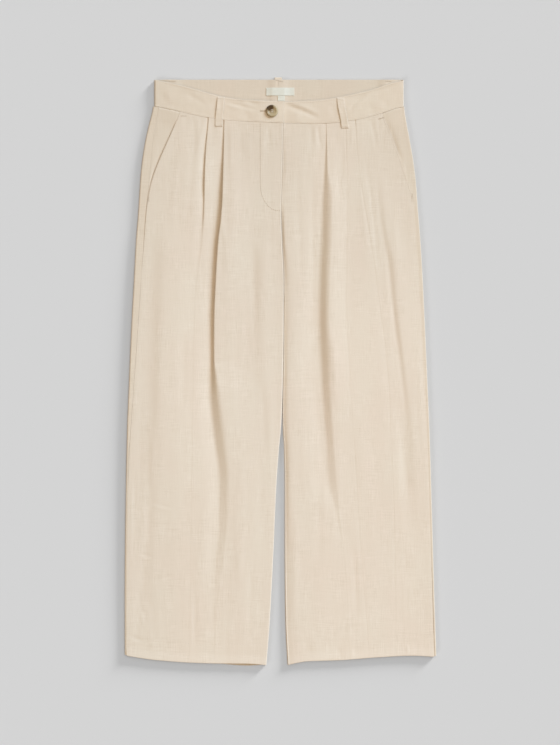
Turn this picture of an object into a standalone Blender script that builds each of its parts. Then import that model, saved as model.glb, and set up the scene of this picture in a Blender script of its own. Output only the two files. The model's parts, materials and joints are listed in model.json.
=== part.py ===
# Culottes laid flat: cropped wide trousers with a buttoned waistband, belt
# loops, a fly, slanted pockets and waist pleats that open into long folds.
# Sizes are in millimetres. X runs to the viewer's right, Y towards the waist
# and Z up from the surface. "right" and "left" are the wearer's.
import math

import bpy
import numpy as np
from mathutils.bvhtree import BVHTree

MM = 0.001
CLOTH = 1.1            # wall of the leg panels
HALF = CLOTH / 2
HEM_INNER = 1.3        # inner offset where the hem is turned up
HEM_DEPTH = 31.0       # depth of the turned-up hem
GAP = 0.3              # between pieces at a seam
BAND = 1.6             # wall of the waistband
BAND_FRONT = 5.0       # middle height of the front waistband
BAND_OVER = 5.9        # the same where it laps over
BAND_UNDER = 4.0       # the same where it runs under
BAND_END = 5.4         # x of the overlapping end at the button
BAND_UNDER_END = -30.5
BAND_SIDE = (-196.0, 192.6)
BACK_SEAM = 413.9      # back waist seam
BACK_TOP = 455.7       # top edge of the back waistband
CENTRE_BACK = -2.7     # centre back seam at the waist
LOOP_WIDTH = 11.4
LOOP_WALL = 1.4
BACK_LOOP_WALL = 1.0
BACK_LOOPS = (-168.6, -2.7, 168.9)
BACK_LOOP_END = 406.6
BACK_LOOP_RISE = BACK_LOOP_WALL + GAP
FLY_WIDTH = 35.6
FLY_END = 249.4
BUTTON_WIDTH = 19.0
BUTTON_AT = (-12.7, 406.1)
LABEL_WALL = 1.0
SHIFT = (-0.06, -0.38) # brings the middle of the whole to the origin

HEIGHTS = np.linspace(424.0, -470.0, 1200)
ROWS = (0.0, 0.014, 0.036, 0.07, 0.105, 0.138, 0.17, 0.208, 0.252, 0.3, 0.328, 0.338,
        0.348, 0.36, 0.376, 0.412, 0.457, 0.505, 0.545, 0.572, 0.6, 0.65, 0.715, 0.79, 0.875,
        0.9595, 0.963, 1.0)


class Table:
    # rows of numbers under named columns, read smoothly between rows
    def __init__(self, names, rows):
        data = np.array(rows, float)
        data = data[np.argsort(data[:, 0])]
        self.key = data[:, 0]
        self.column = {name: data[:, i] for i, name in enumerate(names)}

    def read(self, name, where):
        k, v = self.key, self.column[name]
        where = np.clip(np.asarray(where, float), k[0], k[-1])
        step = np.diff(k)
        rise = np.diff(v) / step
        slope = np.zeros(len(k))
        same = rise[1:] * rise[:-1] > 0
        slope[1:-1][same] = 2 * rise[1:][same] * rise[:-1][same] / (rise[1:][same] + rise[:-1][same])
        slope[0] = rise[0]
        slope[-1] = rise[-1]
        i = np.clip(np.searchsorted(k, where) - 1, 0, len(step) - 1)
        u = (where - k[i]) / step[i]
        start = (1 + 2 * u) * (1 - u) ** 2 * v[i] + u * (1 - u) ** 2 * step[i] * slope[i]
        end = u * u * (3 - 2 * u) * v[i + 1] + u * u * (u - 1) * step[i] * slope[i + 1]
        return start + end


# outer outline, side seam and the front panel's outer edge, which is the
# slanted pocket mouth down to y 250 and the side seam below it
EDGES = ("y", "outline", "seam", "edge")
SIDE_RIGHT = Table(EDGES, [
    (418, -197.0, -187.9, -149.5), (405, -199.3, -190.1, -155.8), (385, -204.4, -193.8, -164.0),
    (362, -209.6, -197.3, -174.2), (340, -213.4, -200.1, -184.0), (323, -215.7, -201.6, -191.2),
    (304, -217.5, -203.4, -198.2), (288, -218.6, -204.9, -202.2), (268, -219.8, -206.8, -205.4),
    (249, -221.0, -208.5, -208.5), (206, -224.4, -211.9, -211.9), (143, -227.7, -216.4, -216.4),
    (65, -231.9, -221.8, -221.8), (-27, -235.8, -228.2, -228.2), (-80, -238.0, -232.0, -232.0),
    (-134, -239.7, -235.2, -235.2), (-231, -241.9, -238.4, -238.4), (-356, -243.4, -240.0, -240.0),
    (-449, -242.8, -239.4, -239.4)])
SIDE_LEFT = Table(EDGES, [
    (418, 193.3, 187.1, 154.0), (405, 194.3, 188.4, 158.1), (385, 197.6, 191.4, 166.8),
    (362, 201.9, 195.6, 176.0), (340, 205.8, 199.6, 184.2), (323, 208.4, 202.3, 190.3),
    (304, 210.8, 204.6, 196.6), (288, 212.3, 206.0, 201.2), (268, 213.7, 207.4, 205.4),
    (249, 215.1, 208.9, 208.9), (206, 218.5, 212.1, 212.1), (143, 222.3, 216.4, 216.4),
    (65, 226.0, 220.6, 220.6), (-27, 230.0, 225.2, 225.2), (-80, 232.3, 228.0, 228.0),
    (-134, 234.1, 230.2, 230.2), (-231, 236.9, 233.2, 233.2), (-356, 240.6, 237.2, 237.2),
    (-449, 243.6, 240.2, 240.2)])
# centre front down to the crotch, then the inner edge of each leg
INNER = Table(("y", "right", "left"), [
    (418, 5.1, 5.1), (388, 4.9, 4.9), (338, 4.0, 4.0), (271, 2.3, 2.3), (249, 2.0, 2.0),
    (204, 4.2, 4.2), (139, 7.0, 7.0), (89, 6.6, 6.6), (-11, 4.9, 5.0), (-61, 3.3, 4.1),
    (-94, 1.2, 4.7), (-114, -0.9, 6.0), (-176, -5.4, 7.1), (-283, -10.2, 7.1),
    (-389, -15.8, 8.3), (-462, -21.4, 11.9)])
BACK_SEAM_LINE = Table(("y", "x"), [(418, CENTRE_BACK), (268, 0.7), (128, 6.2), (100, 6.6)])
WAIST = Table(("x", "top", "seam"), [
    (-203, 455.2, 413.9), (-190, 453.8, 412.7), (-156, 446.6, 405.4), (-128, 439.1, 398.9),
    (-100, 430.9, 394.1), (-81, 427.0, 391.6), (-62, 424.4, 390.4), (-23, 422.3, 388.8),
    (15, 421.2, 387.1), (47, 422.3, 386.4), (70, 424.3, 386.9), (90, 427.5, 388.6),
    (117, 433.2, 392.3), (142, 439.4, 397.8), (165, 446.9, 405.1), (181, 451.7, 410.4),
    (200, 454.9, 413.9)])
HEM_RIGHT = Table(("x", "front", "back"), [
    (-245, -438.2, -437.6), (-195, -445.8, -444.9), (-142, -451.0, -450.1),
    (-101, -453.8, -453.8), (-75, -454.7, -456.9), (-53, -454.8, -458.3),
    (-36, -455.6, -457.5), (-20, -458.9, -457.2)])
HEM_LEFT = Table(("x", "front", "back"), [
    (9, -458.9, -457.2), (25, -454.4, -452.9), (42, -451.3, -450.1), (89, -449.4, -448.2),
    (159, -444.8, -443.5), (206, -442.5, -441.3), (245, -445.2, -443.8)])

# A pleat or fold: where its upper edge shows, how far the cloth turns, the
# length run between its two bends, their radii and the height it rises from.
FOLDS = ("y", "x", "turn", "run", "low_bend", "top_bend", "low")
PLEAT_OUTER_RIGHT = Table(FOLDS, [
    (418, -109.3, 180, 8, 0.75, 0.75, 2.1), (370, -113.6, 180, 8, 0.75, 0.75, 2.1),
    (323, -116.8, 180, 4, 0.75, 0.75, 2.1), (292, -117.7, 175, 1.2, 0.75, 0.75, 2.2),
    (268, -118.2, 115, 0.6, 0.8, 0.9, 2.4), (206, -121.1, 25, 2, 2, 3, 3.0),
    (121, -131.1, 8, 4, 8, 10, 3.6), (-44, -135.8, 4, 4, 10, 10, 3.8),
    (-449, -140.5, 3, 4, 10, 10, 3.8)])
PLEAT_INNER_RIGHT = Table(FOLDS, [
    (418, -86.5, 180, 8, 0.75, 0.75, 2.1), (346, -87.6, 180, 8, 0.75, 0.75, 2.1),
    (315, -87.8, 172, 7, 0.75, 0.75, 2.1), (268, -89.3, 160, 6, 0.8, 0.8, 2.1),
    (237, -92.1, 145, 4.5, 0.9, 0.9, 2.1), (206, -96.2, 130, 3.2, 0.9, 0.9, 2.1),
    (143, -100.2, 115, 3, 1, 1, 2.1), (81, -102.7, 108, 3.2, 1, 1.1, 2.1),
    (19, -103.2, 90, 2.2, 1.2, 1.6, 2.1), (-20, -101.2, 62, 2.2, 2.5, 3, 2.1),
    (-59, -97.4, 40, 3, 5, 6, 2.2), (-106, -92.9, 28, 4, 8, 10, 2.4),
    (-169, -85.9, 20, 5, 10, 12, 2.7), (-231, -85.1, 16, 5, 12, 12, 2.9),
    (-293, -91.3, 12, 5, 12, 12, 3.1), (-356, -98.4, 8, 5, 12, 12, 3.4),
    (-449, -103.0, 4, 5, 12, 12, 3.7)])
FOLD_LEFT = Table(FOLDS, [
    (418, 72.0, 180, 3, 0.75, 0.75, 2.1), (370, 73.2, 180, 3, 0.75, 0.75, 2.1),
    (346, 73.7, 175, 3, 0.75, 0.8, 2.1), (315, 73.2, 160, 2.4, 0.8, 0.9, 2.1),
    (268, 74.0, 130, 1, 0.9, 1.5, 2.1), (206, 73.6, 100, 1.2, 1, 2.5, 2.1),
    (143, 70.9, 95, 1.6, 1.2, 2.6, 2.1), (81, 71.1, 90, 1.6, 1.4, 2.6, 2.1),
    (19, 73.2, 60, 2.5, 3, 4, 2.1), (-44, 77.1, 38, 3, 6, 8, 2.2),
    (-106, 82.6, 26, 4, 9, 11, 2.5), (-169, 85.7, 18, 5, 10, 12, 2.9),
    (-231, 93.5, 12, 5, 12, 12, 3.2), (-293, 101.3, 8, 5, 12, 12, 3.4),
    (-356, 106.0, 5, 5, 12, 12, 3.6), (-449, 109.1, 3, 5, 12, 12, 3.8)])
PLEAT_INNER_LEFT = Table(FOLDS, [
    (418, 101.9, 180, 3.5, 0.75, 0.75, 2.1), (377, 102.6, 180, 3.5, 0.75, 0.75, 2.1),
    (346, 99.5, 180, 2.5, 0.75, 0.75, 2.2), (315, 98.2, 120, 0.6, 0.8, 0.8, 2.6),
    (268, 94.3, 30, 1.5, 2, 2, 3.2), (206, 98.2, 8, 4, 8, 8, 4.0),
    (112, 104.4, 4, 4, 10, 10, 4.3), (-44, 112.2, 3, 4, 10, 10, 4.3),
    (-200, 121.6, 3, 4, 10, 10, 4.3), (-449, 140.3, 3, 4, 10, 10, 4.0)])
PLEAT_OUTER_LEFT = Table(FOLDS, [
    (418, 117.5, 180, 3.5, 0.75, 0.75, 2.1), (365, 121.0, 180, 3.5, 0.75, 0.75, 2.1),
    (343, 127.8, 180, 2.0, 0.75, 0.75, 2.2), (318, 136.4, 125, 0.8, 0.8, 0.8, 2.5),
    (284, 141.9, 45, 1.5, 1.5, 1.5, 3.0), (238, 147.3, 20, 3, 4, 4, 3.4),
    (175, 154.4, 8, 4, 8, 8, 3.9), (-44, 171.5, 4, 4, 10, 10, 4.2),
    (-449, 184.0, 3, 4, 10, 10, 4.0)])
# heights of the wall's middle: between folds, at the inner edge, at the outer edge
LEVELS = ("y", "base", "inner", "edge")
LEVEL_RIGHT = Table(LEVELS, [
    (418, 4.8, 4.9, 5.0), (380, 4.7, 4.8, 5.0), (268, 4.6, 4.5, 4.9), (206, 4.8, 4.5, 4.2),
    (89, 4.8, 4.6, 4.2), (-27, 4.7, 4.6, 4.2), (-250, 4.4, 4.4, 4.2), (-449, 4.0, 4.2, 4.1)])
LEVEL_LEFT = Table(LEVELS, [
    (418, 4.7, 4.9, 5.0), (380, 4.6, 4.8, 5.0), (268, 4.6, 4.4, 4.9), (206, 4.8, 4.2, 4.2),
    (89, 5.0, 3.9, 4.2), (-27, 4.9, 3.9, 4.2), (-250, 4.5, 3.9, 4.2), (-449, 4.0, 4.1, 4.1)])
# how far the front wraps down and under at the inner leg, and the back's retreat
ROLL = Table(("y", "turn", "tail"), [
    (129, 1.5, 0.5), (120, 20, 0.5), (112, 60, 0.5), (104, 110, 0.6), (96, 150, 1.0),
    (88, 180, 2.0), (60, 180, 4.0), (-449, 180, 4.0)])
RETREAT = Table(("y", "share"), [(131, 0), (126, 0.3), (121, 0.7), (116, 1)])
# soft ridges: their line from top to bottom, height there, and side widths
RIDGES = ("y", "x", "height", "left", "right")
RIDGE_THIGH = Table(RIDGES, [
    (236, -176, 0, 14, 34), (190, -178, 1.3, 14, 34), (60, -184, 1.5, 15, 36),
    (-60, -188, 1.2, 16, 36), (-130, -190, 0, 16, 36)])
RIDGE_CENTRE = Table(RIDGES, [
    (215, -25, 0, 10, 13), (170, -26, 1.2, 10, 13), (80, -27, 1.0, 10, 13), (30, -28, 0, 10, 13)])
RIDGE_OUTER = Table(RIDGES, [
    (385, 152, 0, 7, 10), (320, 162, 0.5, 8, 14), (230, 172, 1.0, 9, 18),
    (130, 184, 1.7, 10, 22), (20, 196, 1.8, 12, 22), (-90, 206, 1.3, 14, 20),
    (-200, 210, 0, 14, 20)])
LOW_REACH = 4.0
TOP_REACH = 8.0
BACK_LIFT = Table(("y", "share"), [(384, 0), (400, 1), (424, 1)])
POCKET_END = 268.0
POCKET_UNDER = 25.0


def settle(distance, reach):
    u = np.abs(distance) / reach
    return (1 + u) * np.exp(-u)


def span(base, start, end, count):
    # stations between two anchors, each an (x, height, reach)
    points = []
    for i in range(1, count + 1):
        s = i / (count + 1)
        x = start[0] + (end[0] - start[0]) * s
        z = base + (start[1] - base) * settle(x - start[0], start[2]) * (1 - s)
        z = z + (end[1] - base) * settle(end[0] - x, end[2]) * s
        points.append((x, z))
    return points


def fold(table, y, faces, steps):
    # the upper edge faces -X for faces -1 and +X for faces 1
    turn = np.radians(table.read("turn", y))
    run = table.read("run", y)
    low_bend = table.read("low_bend", y)
    top_bend = table.read("top_bend", y)
    low = table.read("low", y)
    centre = top_bend * np.sin(np.minimum(turn, math.pi / 2))
    run_end = centre - top_bend * np.sin(turn)
    start = run_end - run * np.cos(turn) - low_bend * np.sin(turn)
    height = low + low_bend * (1 - np.cos(turn)) + run * np.sin(turn)
    points = [(np.minimum(start - 0.6, -1.2), low + 0 * y)]
    for i in range(steps + 1):
        a = turn * i / steps
        points.append((start + low_bend * np.sin(a), low + low_bend * (1 - np.cos(a))))
    for i in range(steps + 1):
        a = turn * (1 - i / steps)
        points.append((centre - top_bend * np.sin(a), height + top_bend * (np.cos(a) - np.cos(turn))))
    x = table.read("x", y)
    if faces < 0:
        return [(x + px, pz) for px, pz in points]
    return [(x - px, pz) for px, pz in points[::-1]]


def roll(x, level, y, steps):
    # the wall turns down and under at the outer face x, on its +X side
    turn = np.radians(ROLL.read("turn", y))
    tail = ROLL.read("tail", y)
    bend = np.maximum((level - HALF) / 2, 3.0 / turn)
    bend = np.minimum(bend, (level - HALF - tail * np.sin(turn)) / (1 - np.cos(turn)))
    start = x - GAP / 2 - (HALF + bend) * np.sin(np.minimum(turn, math.pi / 2))
    start = start - tail * np.maximum(np.cos(turn), 0)
    points = []
    for i in range(steps + 1):
        a = turn * i / steps
        points.append((start + bend * np.sin(a), level - bend * (1 - np.cos(a))))
    px, pz = points[-1]
    points.append((px + tail * np.cos(turn), pz - tail * np.sin(turn)))
    return points


def ridge(table, x, y):
    offset = x - table.read("x", y)
    width = np.where(offset < 0, table.read("left", y), table.read("right", y))
    return table.read("height", y) * np.exp(-(offset / width) ** 2)


def front_right(y):
    base = LEVEL_RIGHT.read("base", y)
    edge = (SIDE_RIGHT.read("edge", y) + GAP / 2, LEVEL_RIGHT.read("edge", y), 9.0)
    outer = fold(PLEAT_OUTER_RIGHT, y, -1, 3)
    inner = fold(PLEAT_INNER_RIGHT, y, -1, 3)
    wrap = roll(INNER.read("right", y), LEVEL_RIGHT.read("inner", y), y, 4)
    points = [edge[:2]]
    points += span(base, edge, outer[0] + (LOW_REACH,), 4) + outer
    points += span(base, outer[-1] + (TOP_REACH,), inner[0] + (LOW_REACH,), 2) + inner
    points += span(base, inner[-1] + (TOP_REACH,), wrap[0] + (6.0,), 5) + wrap
    return [(x, z + ridge(RIDGE_THIGH, x, y) + ridge(RIDGE_CENTRE, x, y)) for x, z in points]


def front_left(y):
    base = LEVEL_LEFT.read("base", y)
    edge = (SIDE_LEFT.read("edge", y) - GAP / 2, LEVEL_LEFT.read("edge", y), 9.0)
    wrap = roll(-INNER.read("left", y), LEVEL_LEFT.read("inner", y), y, 4)
    wrap = [(-x, z) for x, z in wrap[::-1]]
    middle = fold(FOLD_LEFT, y, -1, 3)
    inner = fold(PLEAT_INNER_LEFT, y, 1, 3)
    outer = fold(PLEAT_OUTER_LEFT, y, 1, 3)
    points = wrap + span(base, wrap[-1] + (5.0,), middle[0] + (LOW_REACH,), 5) + middle
    points += span(base, middle[-1] + (TOP_REACH,), inner[0] + (TOP_REACH,), 2) + inner
    points += span(base, inner[-1] + (LOW_REACH,), outer[0] + (TOP_REACH,), 2) + outer
    points += span(base, outer[-1] + (LOW_REACH,), edge, 4) + [edge[:2]]
    return [(x, z + ridge(RIDGE_OUTER, x, y)) for x, z in points]


def lift(x):
    # rise of the back over the belt loops that it lies on
    rise = 0
    for middle in BACK_LOOPS:
        u = np.clip((np.abs(x - middle) - LOOP_WIDTH / 2 - 1.5) / 9, 0, 1)
        rise = rise + (1 - u * u * (3 - 2 * u)) * BACK_LOOP_RISE
    return rise


def back(y, side):
    # from the centre along the surface, round the outer edge to the side seam
    table = SIDE_RIGHT if side < 0 else SIDE_LEFT
    level = (LEVEL_RIGHT if side < 0 else LEVEL_LEFT).read("edge", y)
    level = np.minimum(level, 4.2)
    bend = (level - HALF) / 2
    inner_level = (LEVEL_RIGHT if side < 0 else LEVEL_LEFT).read("inner", y)
    leg = INNER.read("right" if side < 0 else "left", y)
    wrap = GAP / 2 + HALF + (inner_level - HALF) / 2 + ROLL.read("tail", y) + 2 * GAP
    near = BACK_SEAM_LINE.read("x", y) + side * GAP / 2
    share = RETREAT.read("share", y)
    near = near * (1 - share) + (leg + side * wrap) * share
    far = table.read("outline", y) - side * (HALF + bend)
    middle = abs(BACK_LOOPS[0 if side < 0 else 2] - near[0])
    stops = [s / abs(far[0] - near[0]) for s in (9, 18, 90, middle - 16, middle - 7.5, middle + 7.5, middle + 16)]
    points = [(near, HALF + 0 * y)]
    points += [(near + (far - near) * s, HALF + 0 * y) for s in stops]
    points = [(x, z + lift(x) * BACK_LIFT.read("share", y)) for x, z in points]
    for i in range(5):
        a = math.pi * i / 4
        points.append((far + side * bend * math.sin(a), HALF + bend * (1 - math.cos(a))))
    seam = table.read("seam", y) + side * GAP / 2
    points.append(((far + seam) / 2, level))
    points.append((seam, level))
    return points if side < 0 else points[::-1]


def lengthwise(points, top, bottom):
    # runs every station down the leg, from the waist seam to the hem
    rows = np.array(ROWS)
    grid = np.zeros((len(points), len(rows), 3))
    for i, (x, z) in enumerate(points):
        x = x + 0 * HEIGHTS
        first = top(x, i)
        share = (first - HEIGHTS) / (first - bottom(x))
        grid[i, :, 0] = np.interp(rows, share, x)
        grid[i, :, 1] = np.interp(rows, share, HEIGHTS)
        grid[i, :, 2] = np.interp(rows, share, z + 0 * HEIGHTS)
    return grid


def unit(vectors):
    return vectors / np.maximum(np.linalg.norm(vectors, axis=-1, keepdims=True), 1e-12)


def shell(grid, outer, inner):
    # a closed wall round a grid of middle points, mitred at each bend
    along = np.gradient(grid, axis=1)
    edges = grid[1:] - grid[:-1]
    normals = unit(np.cross((along[1:] + along[:-1]) / 2, edges))
    first = np.concatenate([normals[:1], normals])
    second = np.concatenate([normals, normals[-1:]])
    middle = unit(first + second)
    mitre = 1 / np.maximum(np.sum(middle * second, axis=-1, keepdims=True), 0.6)
    outside = grid + middle * mitre * outer
    inside = grid - middle * mitre * inner
    ni, nj = grid.shape[:2]
    points = np.concatenate([outside.reshape(-1, 3), inside.reshape(-1, 3)])
    back_of = ni * nj
    faces = []
    for i in range(ni - 1):
        for j in range(nj - 1):
            a, b, c, d = i * nj + j, (i + 1) * nj + j, (i + 1) * nj + j + 1, i * nj + j + 1
            faces.append((d, c, b, a))
            faces.append((a + back_of, b + back_of, c + back_of, d + back_of))
    rim = [i * nj for i in range(ni)]
    rim += [(ni - 1) * nj + j for j in range(1, nj)]
    rim += [i * nj + nj - 1 for i in range(ni - 2, -1, -1)]
    rim += [j for j in range(nj - 2, 0, -1)]
    for a, b in zip(rim, rim[1:] + rim[:1]):
        faces.append((a, b, b + back_of, a + back_of))
    return points, faces


def add(name, points, faces, colour, roughness=0.85):
    points = (np.asarray(points, float) + np.array([SHIFT[0], SHIFT[1], 0.0])) * MM
    mesh = bpy.data.meshes.new(name)
    mesh.from_pydata([tuple(p) for p in points], [], faces)
    mesh.validate()
    mesh.update()
    item = bpy.data.objects.new(name, mesh)
    bpy.context.scene.collection.objects.link(item)
    material = bpy.data.materials.new(name)
    material.use_nodes = True
    surface = material.node_tree.nodes["Principled BSDF"]
    surface.inputs["Base Color"].default_value = colour + (1.0,)
    surface.inputs["Roughness"].default_value = roughness
    mesh.materials.append(material)
    return item


def panel(name, points, waist, hem, colour):
    grid = lengthwise(points, waist, hem)
    depth = grid[:, -1:, 1] + HEM_DEPTH
    thick = grid[:, :, 1] < depth + 0.4
    inner = np.where(thick, HEM_INNER, HALF)[..., None]
    points, faces = shell(grid, HALF, inner)
    add(name, points, faces, colour)


def front_waist(x, i):
    return WAIST.read("seam", x) - GAP / 2


def back_waist(side, count):
    # the surface part ends at the back seam, the wrapped part at the front's
    def top(x, i):
        i = i if side < 0 else count - 1 - i
        share = min(max((i - 7) / 4, 0), 1)
        return (BACK_SEAM * (1 - share) + WAIST.read("seam", x) * share) - GAP / 2
    return top


def band_path(side):
    # x, height and share of the front for each station, from back to front
    edge = BAND_SIDE[0] if side < 0 else BAND_SIDE[1]
    low = BAND / 2
    bend = (BAND_FRONT - low) / 2
    turn = edge - side * (BAND / 2 + bend)
    near = CENTRE_BACK + side * GAP / 2
    offsets = (0, 7.2, 11.7, 16.5, 60, 110, 150)
    path = [(near + side * s, low, 0.0) for s in offsets]
    loop = BACK_LOOPS[0] if side < 0 else BACK_LOOPS[2]
    path += [(loop + s * side, low, 0.0) for s in (-7.2, 7.2, 11.7, 16.5)]
    path = [(x, z + float(lift(np.array(x))), s) for x, z, s in path]
    for i in range(6):
        a = math.pi * i / 5
        path.append((turn + side * bend * math.sin(a), low + bend * (1 - math.cos(a)), i / 5))
    stops = 13
    if side < 0:
        xs = np.linspace(turn, -52, stops + 1)[1:]
        path += [(x, BAND_FRONT, 1.0) for x in xs]
        path += [(-42, BAND_FRONT + 0.1, 1.0), (-33, BAND_OVER - 0.1, 1.0), (-24, BAND_OVER, 1.0)]
        path += [(-8, BAND_OVER, 1.0), (BAND_END, BAND_OVER, 1.0)]
    else:
        xs = np.linspace(turn, 34, stops + 1)[1:]
        path += [(x, BAND_FRONT, 1.0) for x in xs]
        path += [(25, BAND_FRONT - 0.1, 1.0), (14, BAND_UNDER + 0.1, 1.0), (7, BAND_UNDER, 1.0)]
        path += [(-12, BAND_UNDER, 1.0), (BAND_UNDER_END, BAND_UNDER, 1.0)]
    return path


def waistband(name, side, colour):
    path = band_path(side)
    if side > 0:
        path = path[::-1]
    grid = np.zeros((len(path), 2, 3))
    for i, (x, z, share) in enumerate(path):
        drop = 0.6 if side > 0 and x < 12 and share == 1 else 0.0
        top = BACK_TOP * (1 - share) + (float(WAIST.read("top", x)) - drop) * share
        seam = BACK_SEAM * (1 - share) + float(WAIST.read("seam", x)) * share
        grid[i, 0] = (x, top, z)
        grid[i, 1] = (x, seam + GAP / 2, z)
    points, faces = shell(grid, BAND / 2, BAND / 2)
    add(name, points, faces, colour)


def pocket(name, side, colour):
    # the pocket's back layer, seen between the slanted mouth and the side seam
    table = SIDE_RIGHT if side < 0 else SIDE_LEFT
    shares = np.array((0.0, 0.12, 0.24, 0.38, 0.54, 0.7, 0.86, 1.0))
    seam = table.read("seam", HEIGHTS) - side * 0.8 * GAP
    mouth = np.maximum(np.abs(table.read("edge", HEIGHTS) - seam), 3.6)
    points = [(seam, 3.8 + 0 * HEIGHTS), (seam - side * mouth * 0.45, 3.6 + 0 * HEIGHTS)]
    mouth = seam - side * mouth
    points += [(mouth, 3.45 + 0 * HEIGHTS), (mouth - side * 10, 2.7 + 0 * HEIGHTS)]
    points += [(mouth - side * POCKET_UNDER, 2.6 + 0 * HEIGHTS)]
    if side > 0:
        points = points[::-1]
    grid = np.zeros((len(points), len(shares), 3))
    for i, (x, z) in enumerate(points):
        first = WAIST.read("seam", x) - GAP / 2
        share = (first - HEIGHTS) / (first - POCKET_END)
        grid[i, :, 0] = np.interp(shares, share, x)
        grid[i, :, 1] = np.interp(shares, share, HEIGHTS)
        grid[i, :, 2] = np.interp(shares, share, z)
    points, faces = shell(grid, HALF, HALF)
    add(name, points, faces, colour)


def fly(name, colour):
    # the underlap behind the fly, from the waist seam to the end of the fly
    grid = np.zeros((5, 9, 3))
    for i, s in enumerate((1.0, 0.9, 0.7, 0.35, 0.0)):
        x_top = 5.0 + 3 - (FLY_WIDTH + 3) * s
        top = float(WAIST.read("seam", x_top)) - GAP / 2
        end = FLY_END + 16 * max(0.0, (s - 0.35) / 0.65) ** 3
        for j in range(9):
            y = top + (end - top) * j / 8
            x = float(INNER.read("right", y)) + 3 - (FLY_WIDTH + 3) * s
            z = 3.2 if y > 375 else 2.9
            grid[i, j] = (x, y, z)
    points, faces = shell(grid, HALF, HALF)
    add(name, points, faces, colour)


def surface_tree(names):
    points, faces = [], []
    for name in names:
        mesh = bpy.data.objects[name].data
        offset = len(points)
        points += [tuple(v.co / MM) for v in mesh.vertices]
        faces += [tuple(i + offset for i in p.vertices) for p in mesh.polygons]
    return BVHTree.FromPolygons(points, faces)


def surface_height(tree, x, y):
    hit = tree.ray_cast((x + SHIFT[0], y + SHIFT[1], 60.0), (0, 0, -1))
    return hit[0].z if hit[0] is not None else 0.0


def front_loop(name, tree, top, bottom, colour):
    # follows the highest point of what it crosses, and bows over the band
    steps = 8
    heights = []
    for k in range(steps + 1):
        s = k / steps
        x = top[0] + (bottom[0] - top[0]) * s
        y = top[1] + (bottom[1] - top[1]) * s
        found = [surface_height(tree, x + dx, y + dy)
                 for dx in np.linspace(-LOOP_WIDTH / 2, LOOP_WIDTH / 2, 7)
                 for dy in np.linspace(-4.0, 4.0, 5)]
        heights.append(max(found) + GAP + LOOP_WALL / 2 + 0.9 * math.sin(math.pi * min(1, s * 1.15)) ** 2)
    grid = np.zeros((2, steps + 1, 3))
    for k in range(steps + 1):
        s = k / steps
        x = top[0] + (bottom[0] - top[0]) * s
        y = top[1] + (bottom[1] - top[1]) * s
        grid[0, k] = (x - LOOP_WIDTH / 2, y, heights[k])
        grid[1, k] = (x + LOOP_WIDTH / 2, y, heights[k])
    points, faces = shell(grid, LOOP_WALL / 2, LOOP_WALL / 2)
    add(name, points, faces, colour)


def back_loop(name, middle, top, colour):
    grid = np.zeros((2, 2, 3))
    for i, x in enumerate((middle - LOOP_WIDTH / 2, middle + LOOP_WIDTH / 2)):
        for j, y in enumerate((top, BACK_LOOP_END)):
            grid[i, j] = (x, y, BACK_LOOP_WALL / 2)
    points, faces = shell(grid, BACK_LOOP_WALL / 2, BACK_LOOP_WALL / 2)
    add(name, points, faces, colour)


def band_patch(name, tree, x_range, y_range, count, colour):
    # a label on the inside of the back waistband, made from its surface
    grid = np.zeros((count, 2, 3))
    middle = (y_range[0] + y_range[1]) / 2
    for i, x in enumerate(np.linspace(x_range[0], x_range[1], count)):
        z = max(surface_height(tree, x + dx, middle) for dx in (-0.8, 0, 0.8)) + GAP + LABEL_WALL / 2
        grid[i, 0] = (x, y_range[1], z)
        grid[i, 1] = (x, y_range[0], z)
    points, faces = shell(grid, LABEL_WALL / 2, LABEL_WALL / 2)
    add(name, points, faces, colour)


def button(name, colour):
    # turned profile with a rim, a dished middle and four sewing holes
    profile = Table(("r", "z"), [(0, 1.5), (4.2, 1.5), (5.6, 2.2), (7.4, 2.75), (8.8, 2.5), (9.5, 1.4)])
    radii = (3.6, 5.4, 7.2, 8.7, 9.5)
    sides = 28
    base = BAND_OVER + BAND / 2 + GAP
    points, rings = [], []

    def ring(radius, z):
        first = len(points)
        for k in range(sides):
            a = 2 * math.pi * k / sides
            points.append((BUTTON_AT[0] + radius * math.cos(a), BUTTON_AT[1] + radius * math.sin(a), base + z))
        rings.append(first)

    for r in radii:
        ring(r, float(profile.read("z", r)))
    ring(9.3, 0.6)
    ring(8.0, 0.0)
    faces = []
    for lower, upper in zip(rings, rings[1:]):
        for k in range(sides):
            n = (k + 1) % sides
            faces.append((lower + k, upper + k, upper + n, lower + n))
    faces.append(tuple(rings[0] + k for k in range(sides)))
    faces.append(tuple(rings[-1] + k for k in range(sides - 1, -1, -1)))
    item = add(name, points, faces, colour, 0.3)
    for k in range(4):
        a = math.pi / 4 + math.pi / 2 * k
        bpy.ops.mesh.primitive_cylinder_add(vertices=8, radius=0.9 * MM, depth=8 * MM)
        cutter = bpy.context.object
        x = (BUTTON_AT[0] + 2.1 * math.cos(a) + SHIFT[0]) * MM
        y = (BUTTON_AT[1] + 2.1 * math.sin(a) + SHIFT[1]) * MM
        cutter.location = (x, y, (base + 1) * MM)
        cut = item.modifiers.new("hole", "BOOLEAN")
        cut.operation = "DIFFERENCE"
        cut.solver = "EXACT"
        cut.object = cutter
        bpy.context.view_layer.objects.active = item
        bpy.ops.object.modifier_apply(modifier=cut.name)
        bpy.data.objects.remove(cutter, do_unlink=True)


for old in list(bpy.data.objects):
    bpy.data.objects.remove(old, do_unlink=True)

LINEN = (0.77, 0.66, 0.56)
LINEN_BACK = (0.70, 0.60, 0.50)
TRIM = (0.80, 0.70, 0.60)

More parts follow.
